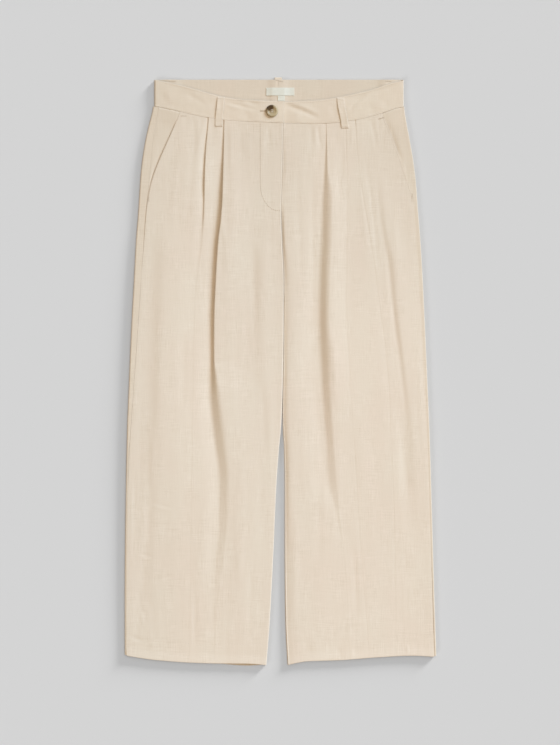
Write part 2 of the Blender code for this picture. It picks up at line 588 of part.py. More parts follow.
panel("front_right", front_right(HEIGHTS), front_waist, lambda x: HEM_RIGHT.read("front", x), LINEN)
panel("front_left", front_left(HEIGHTS), front_waist, lambda x: HEM_LEFT.read("front", x), LINEN)
back_points = back(HEIGHTS, -1)
top_edge = back_waist(-1, len(back_points))
panel("back_right", back_points, top_edge, lambda x: HEM_RIGHT.read("back", x), LINEN_BACK)
back_points = back(HEIGHTS, 1)
top_edge = back_waist(1, len(back_points))
panel("back_left", back_points, top_edge, lambda x: HEM_LEFT.read("back", x), LINEN_BACK)
waistband("waistband_right", -1, TRIM)
waistband("waistband_left", 1, TRIM)
pocket("pocket_right", -1, LINEN_BACK)
pocket("pocket_left", 1, LINEN_BACK)
fly("fly_underlap", LINEN_BACK)
back_loop("belt_loop_back_right", BACK_LOOPS[0], BACK_TOP - 0.5, TRIM)
back_loop("belt_loop_back_centre", BACK_LOOPS[1], BACK_TOP + 3.6, TRIM)
back_loop("belt_loop_back_left", BACK_LOOPS[2], BACK_TOP - 0.5, TRIM)
tree = surface_tree(("front_right", "front_left", "waistband_right", "waistband_left"))
front_loop("belt_loop_front_right", tree, (-92.1, 428.5), (-95.7, 381.7), TRIM)
front_loop("belt_loop_front_left", tree, (94.0, 426.7), (101.6, 379.2), TRIM)
band_patch("waist_label", tree, (-21.8, 22.2), (431.4, 443.8), 13, (0.86, 0.87, 0.85))
band_patch("size_tab", tree, (-3.5, 7.3), (423.2, 431.1), 5, (0.86, 0.87, 0.85))
button("button", (0.16, 0.10, 0.06))
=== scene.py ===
# Culottes laid flat: cloth panels, waistband, loops, stitching, label and
# button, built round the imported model. Lengths are millimetres until a mesh is
# made. X runs to the viewer's right, Y to the waist and Z up from the floor.
import json
import math

import bpy
import numpy as np
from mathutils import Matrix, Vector
from mathutils.bvhtree import BVHTree

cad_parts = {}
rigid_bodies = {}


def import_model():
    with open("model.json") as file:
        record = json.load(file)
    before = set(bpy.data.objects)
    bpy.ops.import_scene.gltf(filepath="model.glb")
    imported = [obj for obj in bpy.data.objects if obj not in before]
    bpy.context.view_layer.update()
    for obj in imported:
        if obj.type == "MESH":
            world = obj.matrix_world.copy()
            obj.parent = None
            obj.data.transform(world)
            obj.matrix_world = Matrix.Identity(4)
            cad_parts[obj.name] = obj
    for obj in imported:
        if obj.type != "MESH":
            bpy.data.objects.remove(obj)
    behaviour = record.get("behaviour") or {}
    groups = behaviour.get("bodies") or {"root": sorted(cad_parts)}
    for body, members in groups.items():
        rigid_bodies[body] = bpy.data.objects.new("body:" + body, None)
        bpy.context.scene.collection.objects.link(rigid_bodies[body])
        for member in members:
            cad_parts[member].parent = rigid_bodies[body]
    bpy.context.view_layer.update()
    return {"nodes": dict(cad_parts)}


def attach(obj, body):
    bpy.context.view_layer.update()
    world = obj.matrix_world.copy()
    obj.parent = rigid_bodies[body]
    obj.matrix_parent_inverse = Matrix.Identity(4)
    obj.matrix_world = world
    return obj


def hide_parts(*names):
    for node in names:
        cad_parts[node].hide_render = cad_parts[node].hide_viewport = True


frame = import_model()
print("frame loaded:", len(frame["nodes"]), "nodes")

millimetre = 0.001
shift = np.array([-0.06, -0.38, 0.0])   # from the tables' origin to the model's
body = "root"


class Table:
    # rows of numbers under named columns, read smoothly between rows
    def __init__(self, names, rows):
        data = np.array(rows, float)
        data = data[np.argsort(data[:, 0])]
        self.key = data[:, 0]
        self.column = {name: data[:, i] for i, name in enumerate(names)}

    def read(self, name, where):
        k, v = self.key, self.column[name]
        where = np.clip(np.asarray(where, float), k[0], k[-1])
        step = np.diff(k)
        rise = np.diff(v) / step
        slope = np.zeros(len(k))
        same = rise[1:] * rise[:-1] > 0
        slope[1:-1][same] = 2 * rise[1:][same] * rise[:-1][same] / (rise[1:][same] + rise[:-1][same])
        slope[0] = rise[0]
        slope[-1] = rise[-1]
        i = np.clip(np.searchsorted(k, where) - 1, 0, len(step) - 1)
        u = (where - k[i]) / step[i]
        start = (1 + 2 * u) * (1 - u) ** 2 * v[i] + u * (1 - u) ** 2 * step[i] * slope[i]
        end = u * u * (3 - 2 * u) * v[i + 1] + u * u * (u - 1) * step[i] * slope[i + 1]
        return start + end


def ease(value, low, high):
    # 0 below low, 1 above high and smooth between them
    u = np.clip((value - low) / (high - low), 0, 1)
    return u * u * (3 - 2 * u)


def unit(vectors):
    return vectors / np.maximum(np.linalg.norm(vectors, axis=-1, keepdims=True), 1e-12)


def ripple(x, y, across, along, seed):
    # seeded soft waves from -1 to 1, across by along millimetres in size
    cells = 128
    lattice = np.random.default_rng(seed).uniform(-1, 1, (cells, cells))
    u, v = x / across + cells // 2, y / along + cells // 2
    i, j = np.floor(u).astype(int), np.floor(v).astype(int)
    fu, fv = u - i, v - j
    fu, fv = fu ** 3 * (6 * fu * fu - 15 * fu + 10), fv ** 3 * (6 * fv * fv - 15 * fv + 10)
    i, j = i % (cells - 1), j % (cells - 1)
    low = lattice[i, j] * (1 - fu) + lattice[i + 1, j] * fu
    high = lattice[i, j + 1] * (1 - fu) + lattice[i + 1, j + 1] * fu
    return low * (1 - fv) + high * fv


def crease(path, width, height, x, y):
    # a soft trough (negative height) or ridge that fades at both ends of its path
    path = np.array(path, float)
    steps = np.diff(path, axis=0)
    lengths = np.linalg.norm(steps, axis=1)
    best = np.full(np.shape(x), 1e9)
    share = np.zeros(np.shape(x))
    walked = 0.0
    for start, step, length in zip(path, steps, lengths):
        t = ((x - start[0]) * step[0] + (y - start[1]) * step[1]) / length ** 2
        t = np.clip(t, 0, 1)
        distance = np.hypot(x - start[0] - t * step[0], y - start[1] - t * step[1])
        share = np.where(distance < best, (walked + t * length) / lengths.sum(), share)
        best = np.minimum(best, distance)
        walked += length
    fade = 1 - np.abs(2 * share - 1) ** 3
    return height * np.exp(-(best / width) ** 2) * fade


class Value:
    # a number on a socket, so that shader maths reads as plain sums
    def __init__(self, tree, socket):
        self.tree = tree
        self.socket = socket

    def math(self, operation, first, second=None):
        node = self.tree.nodes.new("ShaderNodeMath")
        node.operation = operation
        for slot, value in zip(node.inputs, (first, second)):
            if isinstance(value, Value):
                self.tree.links.new(value.socket, slot)
            elif value is not None:
                slot.default_value = value
        return Value(self.tree, node.outputs[0])

    def __add__(self, other):
        return self.math("ADD", self, other)

    __radd__ = __add__

    def __sub__(self, other):
        return self.math("SUBTRACT", self, other)

    def __rsub__(self, other):
        return self.math("SUBTRACT", other, self)

    def __mul__(self, other):
        return self.math("MULTIPLY", self, other)

    __rmul__ = __mul__

    def __truediv__(self, other):
        return self.math("DIVIDE", self, other)

    def sine(self):
        return self.math("SINE", self)

    def held(self):
        # kept between 0 and 1
        return self.math("MAXIMUM", self.math("MINIMUM", self, 1.0), 0.0)


class Finish:
    # one material, its Principled shader and the nodes that feed it
    def __init__(self, name, colour, roughness, constants=None):
        self.material = bpy.data.materials.new(name)
        self.material.use_nodes = True
        self.tree = self.material.node_tree
        self.surface = self.tree.nodes["Principled BSDF"]
        self.surface.inputs["Base Color"].default_value = (*colour, 1)
        self.surface.inputs["Roughness"].default_value = roughness
        for socket, value in (constants or {}).items():
            self.surface.inputs[socket].default_value = value
        self.material.diffuse_color = (*colour, 1)

    def node(self, kind, settings=None, sockets=None, output=0):
        node = self.tree.nodes.new(kind)
        for setting, value in (settings or {}).items():
            if setting == "stops":
                self.setStops(node, value)
            else:
                setattr(node, setting, value)
        for socket, value in (sockets or {}).items():
            if isinstance(value, Value):
                self.tree.links.new(value.socket, node.inputs[socket])
            else:
                node.inputs[socket].default_value = value
        return Value(self.tree, node.outputs[output])

    def setStops(self, node, stops):
        elements = node.color_ramp.elements
        while len(elements) < len(stops):
            elements.new(0.5)
        for element, (position, colour) in zip(elements, stops):
            element.position = position
            element.color = (*colour, 1)

    def mix(self, share, first, second, blend="MIX"):
        # colours one to the other as share goes from 0 to 1
        settings = {"data_type": "RGBA", "blend_type": blend}
        return self.node("ShaderNodeMix", settings, {0: share, 6: first, 7: second}, 2)

    def acrossAndAlong(self, place):
        axes = self.node("ShaderNodeSeparateXYZ", None, {0: place})
        return axes, Value(self.tree, axes.socket.node.outputs[1])

    def noise(self, place, size, detail=2.0, roughness=0.5):
        # noise from 0 to 1 whose grain is size millimetres in x, y and z
        scaled = self.node("ShaderNodeVectorMath", {"operation": "MULTIPLY"},
                           {0: place, 1: tuple(1 / (s * millimetre) for s in size)})
        return self.node("ShaderNodeTexNoise", None,
                         {"Vector": scaled, "Scale": 1.0, "Detail": detail, "Roughness": roughness})

    def feed(self, socket, value):
        self.tree.links.new(value.socket, self.surface.inputs[socket])

    def bump(self, height, strength, distance):
        normal = self.node("ShaderNodeBump", None,
                           {"Strength": strength, "Distance": distance, "Height": height})
        self.feed("Normal", normal)


# the linen's tones, with deep the multiplier of its painted shade, its yarn, and the grain of each noise in
# x, y and z
linen = {
    "light": (0.782, 0.692, 0.578), "dark": (0.690, 0.590, 0.472),
    "warm": (0.775, 0.663, 0.552), "deep": (0.874, 0.877, 0.868),
    "roughness": 0.9, "sheen": 0.08, "yarn": 0.72,
    "slub": (1.5, 26, 6), "fineSlub": (0.8, 14, 3), "cross": (22, 1.5, 6),
    "patch": (55, 120, 60), "grain": (26, 38, 30), "bump": 0.4, "relief": 0.4,
    # where painted shade deepens the tone, in metres: from where and over how far, and how much
    "waist": ((0.02, 0.41), 0.42), "outer": ((0.10, 0.13), 0.6), "hip": ((0.08, 0.12), (0.07, 0.06), 0.2),
    "middle": {"aside": 0.035, "half": 0.11, "below": 0.25, "over": 0.35, "most": 0.16, "least": 0.2},
    "bandFrom": 0.388, "bandOver": 0.02}


def grown(value, start, reach):
    # 0 up to start, and 1 past start and reach
    return ((value - start) / reach).held()


def linenFinish(name, tone=1.0, streaks=1.0):
    light, dark, warm, deep = (linen[k] + (1,) for k in ("light", "dark", "warm", "deep"))
    finish = Finish(name, linen["light"], linen["roughness"], {
        "Specular IOR Level": 0.2, "Sheen Weight": linen["sheen"], "Sheen Roughness": 0.5})
    place = finish.node("ShaderNodeTexCoord", output="Object")
    slub = finish.noise(place, linen["slub"], 3, 0.6)
    fineSlub = finish.noise(place, linen["fineSlub"])
    cross = finish.noise(place, linen["cross"], 3, 0.6)
    patch = finish.noise(place, linen["patch"])
    grain = (finish.noise(place, linen["grain"], 2, 0.6) - 0.40) * 4.5
    across, along = finish.acrossAndAlong(place)
    turns = 2 * math.pi / (linen["yarn"] * millimetre)
    warp = (across * turns + fineSlub * 9).sine()
    weft = (along * turns + cross * 9).sine()
    weave = warp * weft * 0.5 + 0.5
    # slubs stand out in some patches more than in others
    streak = ((slub - 0.5) * 2.1 + (cross - 0.5) * 2.0 + (fineSlub - 0.5) * 0.6) * (grain.held() * 0.8 + 0.2)
    shade = 0.40 - streak * streaks + (weave - 0.5) * 0.18
    cloth = finish.mix(shade, light, dark)
    cloth = finish.mix(((patch - 0.5) * 3.0 + 0.5).held(), cloth, finish.mix(shade, warm, dark))
    # painted shade: a little deeper towards the waist, along the outer sides, at the hip and down the
    # middle, where slopes and layers of cloth shade it
    where, most = linen["waist"]
    waist = grown(along, *where) * most
    where, most = linen["outer"]
    outer = grown(across * -1.0, *where) * most
    up, out, most = linen["hip"]
    hip = grown(along, *up) * grown(across, *out) * most
    shape = linen["middle"]
    offset = (across + shape["aside"]) / shape["half"]
    middle = (1.0 - offset * offset).held()
    middle = middle * (((along + shape["below"]) / shape["over"]).held() * shape["most"] + shape["least"])
    belowBand = ((linen["bandFrom"] - along) / linen["bandOver"]).held()
    cloth = finish.mix(waist + outer + (hip + middle) * belowBand, cloth, deep, "MULTIPLY")
    # a tone below 1 paints shade: a darker, warmer copy of the same linen
    if tone < 1:
        cloth = finish.mix(1.0, cloth, (tone, tone * 0.99, tone * 0.97, 1), "MULTIPLY")
    finish.feed("Base Color", cloth)
    relief = weave * 0.12 + slub * 0.45 + fineSlub * 0.2 + cross * 0.45
    finish.bump(relief, linen["bump"], linen["relief"] * millimetre)
    return finish.material


thread = {
    "dark": (0.56, 0.45, 0.33), "pale": (0.74, 0.63, 0.51), "shaded": 0.72, "twist": (0.35, 0.35, 0.35),
    "bump": 0.5, "relief": 0.2}


def threadFinish(name, colour):
    finish = Finish(name, colour, 0.7, {"Specular IOR Level": 0.3, "Sheen Weight": 0.2})
    place = finish.node("ShaderNodeTexCoord", output="Object")
    twist = finish.noise(place, thread["twist"])
    shaded = tuple(c * thread["shaded"] for c in colour) + (1,)
    finish.feed("Base Color", finish.mix(twist, shaded, (*colour, 1)))
    finish.bump(twist, thread["bump"], thread["relief"] * millimetre)
    return finish.material


tape = {
    "light": (0.72, 0.71, 0.63), "dark": (0.63, 0.62, 0.53), "rib": 0.5, "slack": (5, 2, 5),
    "bump": 0.4, "relief": 0.2}


def labelFinish():
    finish = Finish("woven label", tape["light"], 0.6, {"Specular IOR Level": 0.35, "Sheen Weight": 0.15})
    place = finish.node("ShaderNodeTexCoord", output="Object")
    _, along = finish.acrossAndAlong(place)
    rib = (along * (2 * math.pi / (tape["rib"] * millimetre))).sine() * 0.5 + 0.5
    slack = finish.noise(place, tape["slack"])
    finish.feed("Base Color", finish.mix(slack * 0.6 + rib * 0.25, (*tape["light"], 1), (*tape["dark"], 1)))
    finish.bump(rib * 0.4 + slack, tape["bump"], tape["relief"] * millimetre)
    return finish.material


# the inside and the pocket are darker copies of the linen, painted shade for where they lie low and under
# other cloth; the waistband and the back are a touch darker
clothMaterial = linenFinish("linen")
bandMaterial = linenFinish("linen waistband", 0.99, 0.7)
backMaterial = linenFinish("linen back", 0.985)
shadedInsideMaterial = linenFinish("linen inside in painted shade", 0.93, 0.7)
shadedPocketMaterial = linenFinish("linen pocket in painted shade", 0.97, 0.7)
threadMaterial = threadFinish("sewing thread", thread["dark"])
paleThreadMaterial = threadFinish("pale sewing thread", thread["pale"])
labelMaterial = labelFinish()
print("materials made")


def addMesh(name, points, faces, material):
    # a smooth piece in metres, held up by the floor, on the garment's body
    points = (np.asarray(points, float) + shift) * millimetre
    points[:, 2] = np.maximum(points[:, 2], 0.0)
    mesh = bpy.data.meshes.new(name)
    mesh.from_pydata(points.tolist(), [], faces)
    mesh.shade_smooth()
    mesh.materials.append(material)
    piece = bpy.data.objects.new(name, mesh)
    bpy.context.scene.collection.objects.link(piece)
    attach(piece, body)
    return piece


def gridNormals(grid):
    # normals of a grid and how far a wall's corners reach out along them
    along = np.gradient(grid, axis=1)
    edges = grid[1:] - grid[:-1]
    normals = unit(np.cross((along[1:] + along[:-1]) / 2, edges))
    first = np.concatenate([normals[:1], normals])
    second = np.concatenate([normals, normals[-1:]])
    middle = unit(first + second)
    mitre = 1 / np.maximum(np.sum(middle * second, axis=-1, keepdims=True), 0.6)
    return middle, mitre


def fromEdges(grid, axis):
    # distance of each point from the nearer end of its own grid line
    steps = np.linalg.norm(np.diff(grid, axis=axis), axis=-1)
    walked = np.cumsum(steps, axis=axis)
    pad = [(0, 0), (0, 0)]
    pad[axis] = (1, 0)
    walked = np.pad(walked, pad)
    total = np.take(walked, [-1], axis=axis)
    return np.minimum(walked, total - walked)


def roundRim(distance, radius):
    # share of the wall's half thickness, rising as a quarter circle
    return np.sqrt(1 - (1 - np.clip(distance / radius, 0, 1)) ** 2)


thinnestRim = 0.14


def shell(grid, outer, inner, rounding, sideRounding=None):
    # a closed wall round a grid of middle points, with rounded rims
    normals, mitre = gridNormals(grid)
    sideRounding = rounding if sideRounding is None else sideRounding
    thickness = np.minimum(
        roundRim(fromEdges(grid, 0) + 0.02, sideRounding), roundRim(fromEdges(grid, 1), rounding))
    thickness = np.maximum(thickness, thinnestRim)[..., None]
    outside = grid + normals * mitre * outer * thickness
    inside = grid - normals * mitre * inner * thickness
    ni, nj = grid.shape[:2]
    points = np.concatenate([outside.reshape(-1, 3), inside.reshape(-1, 3)])
    below = ni * nj
    index = np.arange(ni * nj).reshape(ni, nj)
    a, b = index[:-1, :-1].ravel(), index[1:, :-1].ravel()
    c, d = index[1:, 1:].ravel(), index[:-1, 1:].ravel()
    top = np.stack([d, c, b, a], axis=1)
    bottom = np.stack([a, b, c, d], axis=1) + below
    rim = np.concatenate([index[:, 0], index[-1, 1:], index[-2::-1, -1], index[0, -2:0:-1]])
    after = np.roll(rim, -1)
    sides = np.stack([rim, after, after + below, rim + below], axis=1)
    return points, np.concatenate([top, bottom, sides]).tolist()


def tube(points, radius, sides=6):
    # a closed rod with rounded ends along a short path
    points = np.array(points, float)
    tangent = unit(np.gradient(points, axis=0))
    up = np.array([0, 0, 1.0])
    side = unit(np.cross(tangent, up))
    lift = np.cross(side, tangent)
    radii = radius * np.maximum(roundRim(fromEdges(points[:, None], 0)[:, 0], radius), 0.35)
    angle = np.linspace(0, 2 * math.pi, sides, endpoint=False)
    ring = side[:, None] * np.cos(angle)[None, :, None] + lift[:, None] * np.sin(angle)[None, :, None]
    rings = points[:, None] + ring * radii[:, None, None]
    n = len(points)
    faces = []
    for i in range(n - 1):
        for k in range(sides):
            m = (k + 1) % sides
            faces.append((i * sides + k, i * sides + m, (i + 1) * sides + m, (i + 1) * sides + k))
    faces.append(tuple(range(sides - 1, -1, -1)))
    faces.append(tuple((n - 1) * sides + k for k in range(sides)))
    return rings.reshape(-1, 3), faces


cloth = {
    "wall": 0.95, "hemWall": 1.9, "hemDepth": 31.0, "rows": 300, "gap": 0.16,
    "seamGap": {-1: 0.12, 1: 0.01}, "waistGap": 0.04,
    "waistRaise": 0.55, "waistRaiseReach": 12.0, "hemRaise": 0.8, "hemRaiseReach": 15.0,
    # how much thinner the wall is pressed at the waist seam, and between which heights
    "pressed": 0.42, "pressedFrom": (345, 385),
    # crinkles: their height, and their size across and along the cloth
    "crinkles": ((0.09, 15, 190), (0.075, 7.5, 120), (0.05, 4.6, 60), (0.03, 40, 7)),
    # gathers at the waist seam and puckers at the hem: the same, and how far they reach
    "gathers": (0.28, 4.4, 50, 26), "puckers": (0.16, 11, 26, 22),
    "hemSeam": {"depth": 0.10, "width": 1.8},
    # the upper layer's heights, the fly's lap, and where the side edge's rim shows
    "upper": (2.0, 3.6), "flyLap": (-54, -30), "mouthRim": (160, 200), "seamRim": ((-190, -150), (110, 140)),
    # rounding of the end rims: from rimChange above the hem upwards, and below that
    "waistRim": 0.15, "rim": 0.5, "rimChange": 400}
half = cloth["wall"] / 2
closeRim = (0.0, 0.12, 0.35, 0.8)   # stations at a cut edge, so that its rim comes out round
backEdge = {"seam": 413.9, "top": 455.7, "centre": -2.7}
heights = np.linspace(424.0, -470.0, 1600)

# outer outline, side seam and the front panel's outer edge, which is the
# slanted pocket mouth down to y 250 and the side seam below it
edges = ("y", "outline", "seam", "edge")
sideRight = Table(edges, [
    (418, -197.0, -187.9, -149.5), (405, -199.3, -190.1, -155.8), (385, -204.4, -193.8, -164.0),
    (362, -209.6, -197.3, -174.2), (340, -213.4, -200.1, -184.0), (323, -215.7, -201.6, -191.2),
    (304, -217.5, -203.4, -198.2), (288, -218.6, -204.9, -202.6), (268, -219.8, -206.8, -206.4),
    (249, -221.0, -208.5, -208.5), (206, -224.4, -211.9, -211.9), (143, -227.7, -216.4, -216.4),
    (65, -231.9, -221.8, -221.8), (-27, -235.8, -228.2, -228.2), (-80, -238.0, -232.0, -232.0),
    (-134, -239.3, -235.2, -235.2), (-231, -241.0, -237.8, -237.8), (-356, -242.1, -239.0, -239.0),
    (-449, -242.0, -238.9, -238.9)])
sideLeft = Table(edges, [
    (418, 193.3, 187.1, 154.0), (405, 194.3, 188.4, 158.1), (385, 197.6, 191.4, 166.8),
    (362, 201.9, 195.6, 176.0), (340, 205.8, 199.6, 184.2), (323, 208.4, 202.3, 190.3),
    (304, 210.8, 204.6, 196.6), (288, 212.3, 206.0, 202.0), (268, 213.7, 207.4, 207.1),
    (249, 215.1, 208.9, 208.9), (206, 218.5, 212.1, 212.1), (143, 222.3, 216.4, 216.4),
    (65, 226.0, 220.6, 220.6), (-27, 230.0, 225.2, 225.2), (-80, 232.3, 228.0, 228.0),
    (-134, 234.1, 230.2, 230.2), (-231, 236.9, 233.2, 233.2), (-356, 240.6, 237.2, 237.2),
    (-449, 243.6, 240.2, 240.2)])
# centre front down to the crotch, then the inner edge of each leg
innerEdge = Table(("y", "right", "left"), [
    (418, 5.1, 5.1), (388, 4.9, 4.9), (338, 4.0, 4.0), (271, 2.2, 2.2), (249, 1.7, 1.7),
    (204, 3.2, 3.2), (139, 5.8, 5.8), (89, 5.8, 5.8), (-11, 4.5, 4.6), (-61, 3.1, 3.9),
    (-94, 1.2, 4.7), (-114, -0.9, 6.0), (-176, -5.4, 7.1), (-283, -10.2, 7.1),
    (-389, -15.8, 8.3), (-462, -21.4, 11.9)])
backSeamLine = Table(("y", "x"), [(418, backEdge["centre"]), (268, 0.7), (128, 6.2), (100, 6.6)])
waistLine = Table(("x", "top", "seam"), [
    (-203, 455.2, 413.9), (-190, 453.8, 412.7), (-156, 446.6, 405.4), (-128, 439.1, 398.9),
    (-100, 430.9, 394.1), (-81, 427.0, 391.6), (-62, 424.4, 390.4), (-23, 422.3, 388.8),
    (15, 421.2, 387.1), (47, 422.3, 386.4), (70, 424.3, 386.9), (90, 427.5, 388.6),
    (117, 433.2, 392.3), (142, 439.4, 397.8), (165, 446.9, 405.1), (181, 451.7, 410.4),
    (200, 454.9, 413.9)])
hemRight = Table(("x", "front", "back"), [
    (-245, -440.9, -440.3), (-225, -444.6, -443.8), (-195, -448.8, -447.9), (-142, -452.8, -451.9),
    (-101, -454.2, -454.2), (-75, -454.4, -456.6), (-53, -454.5, -458.0),
    (-36, -455.4, -457.3), (-20, -457.2, -456.0)])
hemLeft = Table(("x", "front", "back"), [
    (9, -457.6, -456.2), (25, -453.7, -452.2), (42, -450.9, -449.7), (89, -449.3, -448.1),
    (159, -444.3, -443.0), (206, -442.2, -441.0), (245, -444.0, -442.6)])

# A pleat or fold: where its upper edge shows, how far the cloth turns, the
# length run between its two bends, their radii and the height it rises from.
foldNames = ("y", "x", "turn", "run", "lowBend", "topBend", "low")
pleatOuterRight = Table(foldNames, [
    (418, -109.3, 180, 8, 0.3, 0.3, 4.1), (385, -112.0, 180, 8, 0.3, 0.3, 4.0),
    (350, -115.2, 180, 7, 0.5, 0.5, 2.9), (323, -116.8, 176, 4, 0.6, 0.6, 2.4),
    (292, -117.7, 140, 1.0, 0.7, 0.7, 2.5), (268, -118.2, 75, 0.6, 0.8, 0.9, 2.9),
    (206, -121.1, 7, 2, 5, 6, 3.9), (121, -131.1, 3, 1, 12, 12, 4.3),
    (60, -133.5, 3, 0.6, 12, 12, 4.4), (-449, -140.5, 3, 0.6, 12, 12, 4.1)])
pleatInnerRight = Table(foldNames, [
    (418, -86.5, 180, 8, 0.3, 0.3, 4.1), (385, -87.0, 180, 8, 0.3, 0.3, 4.0),
    (346, -87.8, 180, 8, 0.6, 0.6, 2.6), (315, -88.6, 168, 5.5, 0.7, 0.7, 2.2),
    (268, -90.0, 140, 4.6, 0.9, 0.9, 1.9), (237, -92.3, 128, 4.4, 1, 1, 1.8),
    (206, -96.2, 122, 4.2, 1, 1, 1.75), (143, -100.2, 115, 3.8, 1, 1, 1.75),
    (81, -102.7, 108, 3.4, 1, 1.1, 1.75), (19, -103.2, 80, 2.6, 1.2, 1.6, 1.9),
    (-10, -102.6, 48, 3.0, 4, 7, 2.0), (-44, -99.2, 26, 5.5, 13, 17, 2.1),
    (-106, -91.5, 18, 7, 17, 26, 2.4), (-169, -84.9, 15, 7, 17, 26, 2.7),
    (-231, -85.1, 10.5, 8, 16, 24, 3.1), (-293, -90.3, 7, 8, 16, 24, 3.5),
    (-345, -95.4, 4, 6, 14, 14, 3.9), (-449, -103.0, 3, 0.6, 12, 12, 4.1)])
foldLeft = Table(foldNames, [
    (418, 72.0, 18, 0.5, 1.2, 1.2, 4.3), (388, 72.2, 20, 0.5, 1.2, 1.2, 4.2),
    (368, 72.6, 30, 0.5, 2.0, 1.1, 4.0), (346, 72.9, 33, 0.9, 3.2, 1.8, 3.7),
    (315, 72.8, 30, 1.6, 6, 5, 3.2), (268, 72.6, 25, 3, 12, 20, 2.6),
    (206, 71.3, 27, 3.2, 14, 19, 2.0), (143, 69.8, 28, 4.2, 14, 16, 1.8),
    (81, 69.6, 28, 4.8, 13, 15, 1.8), (19, 71.6, 25, 4.2, 16, 20, 1.9),
    (-44, 75.6, 20, 6, 16, 16, 2.2), (-106, 80.6, 15, 6, 18, 18, 2.7),
    (-169, 85.7, 11, 6, 32, 18, 3.1), (-215, 91.0, 6, 3, 24, 18, 4.0),
    (-260, 97.5, 3, 0.6, 12, 12, 4.3), (-356, 106.0, 3, 0.6, 12, 12, 4.3),
    (-449, 109.1, 3, 0.6, 12, 12, 4.1)])
pleatInnerLeft = Table(foldNames, [
    (418, 102.6, 180, 3.5, 0.3, 0.3, 4.0), (400, 102.8, 180, 3, 0.3, 0.3, 4.0),
    (390, 103.0, 40, 0.6, 0.6, 0.6, 4.4), (378, 103.4, 12, 0.6, 2, 2, 4.6),
    (340, 104.2, 7, 0.6, 4, 4, 4.6), (300, 106.0, 3, 0.6, 12, 12, 4.7),
    (112, 104.4, 3, 0.6, 12, 12, 4.8), (-44, 112.2, 3, 0.6, 12, 12, 4.8),
    (-200, 121.6, 3, 0.6, 12, 12, 4.5), (-449, 140.3, 3, 0.6, 12, 12, 4.1)])
pleatOuterLeft = Table(foldNames, [
    (418, 117.4, 180, 3.5, 0.3, 0.3, 4.0), (404, 117.6, 180, 3, 0.3, 0.3, 4.0),
    (392, 118.0, 40, 0.6, 0.6, 0.6, 4.4), (380, 118.8, 12, 0.6, 2, 2, 4.6),
    (345, 121.0, 6, 0.6, 5, 5, 4.6), (300, 126.0, 3, 0.6, 12, 12, 4.7),
    (175, 146.4, 3, 0.6, 12, 12, 4.8), (-44, 171.5, 3, 0.6, 12, 12, 4.8),
    (-449, 184.0, 3, 0.6, 12, 12, 4.1)])
# heights of the wall's middle: between folds, at the inner edge, at the pocket
# mouth and outer edge, and where the back reaches the side seam
levelNames = ("y", "base", "inner", "edge", "seam")
levelRight = Table(levelNames, [
    (418, 4.8, 4.9, 5.1, 4.9), (400, 4.75, 4.85, 5.15, 4.5), (380, 4.7, 4.8, 5.2, 4.25),
    (268, 4.6, 4.5, 5.0, 4.3), (245, 4.6, 4.55, 5.1, 4.25), (215, 4.6, 4.6, 5.2, 4.6),
    (178, 4.6, 4.6, 5.3, 5.15), (89, 4.6, 4.6, 5.7, 5.7), (-27, 4.6, 4.6, 5.8, 5.8),
    (-250, 4.4, 4.6, 5.4, 5.4), (-449, 4.1, 4.4, 4.6, 4.6)])
levelLeft = Table(levelNames, [
    (418, 4.7, 4.9, 5.1, 5.0), (400, 4.65, 4.85, 5.1, 4.6), (380, 4.6, 4.8, 5.2, 4.45),
    (345, 4.6, 3.9, 5.15, 4.45), (320, 4.6, 3.9, 4.95, 4.45), (300, 4.6, 3.9, 4.85, 4.5),
    (268, 4.65, 4.1, 4.8, 4.6),
    (248, 4.7, 3.0, 4.95, 4.75), (206, 4.8, 2.3, 4.9, 4.9), (175, 4.85, 2.3, 5.0, 5.0),
    (112, 4.95, 2.9, 5.1, 5.1),
    (50, 5.0, 2.3, 5.3, 5.3), (-27, 4.9, 2.3, 5.4, 5.4), (-120, 4.7, 2.2, 5.3, 5.3),
    (-250, 4.5, 2.6, 5.0, 5.0), (-449, 4.1, 3.4, 4.6, 4.6)])
leftLean = Table(("y", "reach"), [
    (418, 4), (345, 1.3), (300, 1.4), (268, 1.6), (248, 1), (206, 0.9), (175, 1.6), (112, 2.6), (50, 2.2),
    (-120, 2), (-449, 3)])
# how far the front wraps down and under at the inner leg, and the back's retreat
rollShape = Table(("y", "turn", "tail"), [
    (129, 1.5, 0.5), (120, 20, 0.5), (112, 60, 0.5), (104, 110, 0.6), (96, 150, 1.0),
    (88, 180, 2.0), (60, 180, 4.0), (-449, 180, 4.0)])
retreat = Table(("y", "share"), [(131, 0), (126, 0.3), (121, 0.7), (116, 1)])
# long soft ridges: their line from top to bottom, height there, and side widths
ridgeNames = ("y", "x", "height", "left", "right")
ridgeThigh = Table(ridgeNames, [
    (236, -178, 0, 12, 36), (190, -180, 1.2, 12, 36), (60, -184, 1.7, 12, 38),
    (-60, -187, 1.6, 12, 38), (-160, -192, 0.9, 12, 38), (-240, -196, 0, 12, 38)])
ridgeCentre = Table(ridgeNames, [
    (215, -25, 0, 10, 13), (170, -26, 1.0, 10, 13), (80, -27, 0.9, 10, 13),
    (-60, -22, 0.7, 11, 13), (-200, -20, 0, 11, 13)])
ridgeOuter = Table(ridgeNames, [
    (330, 150, 0, 6, 14), (270, 158.5, 0.4, 6, 18), (215, 167, 0.8, 5.5, 20),
    (168, 177.2, 1.2, 5.5, 22), (112, 182.3, 1.2, 5, 22), (68, 187.2, 1.2, 5, 22),
    (34, 191.7, 1.1, 6, 20), (-49, 203, 0.7, 8, 18), (-153, 214, 0.4, 9, 14), (-260, 222, 0, 10, 14)])
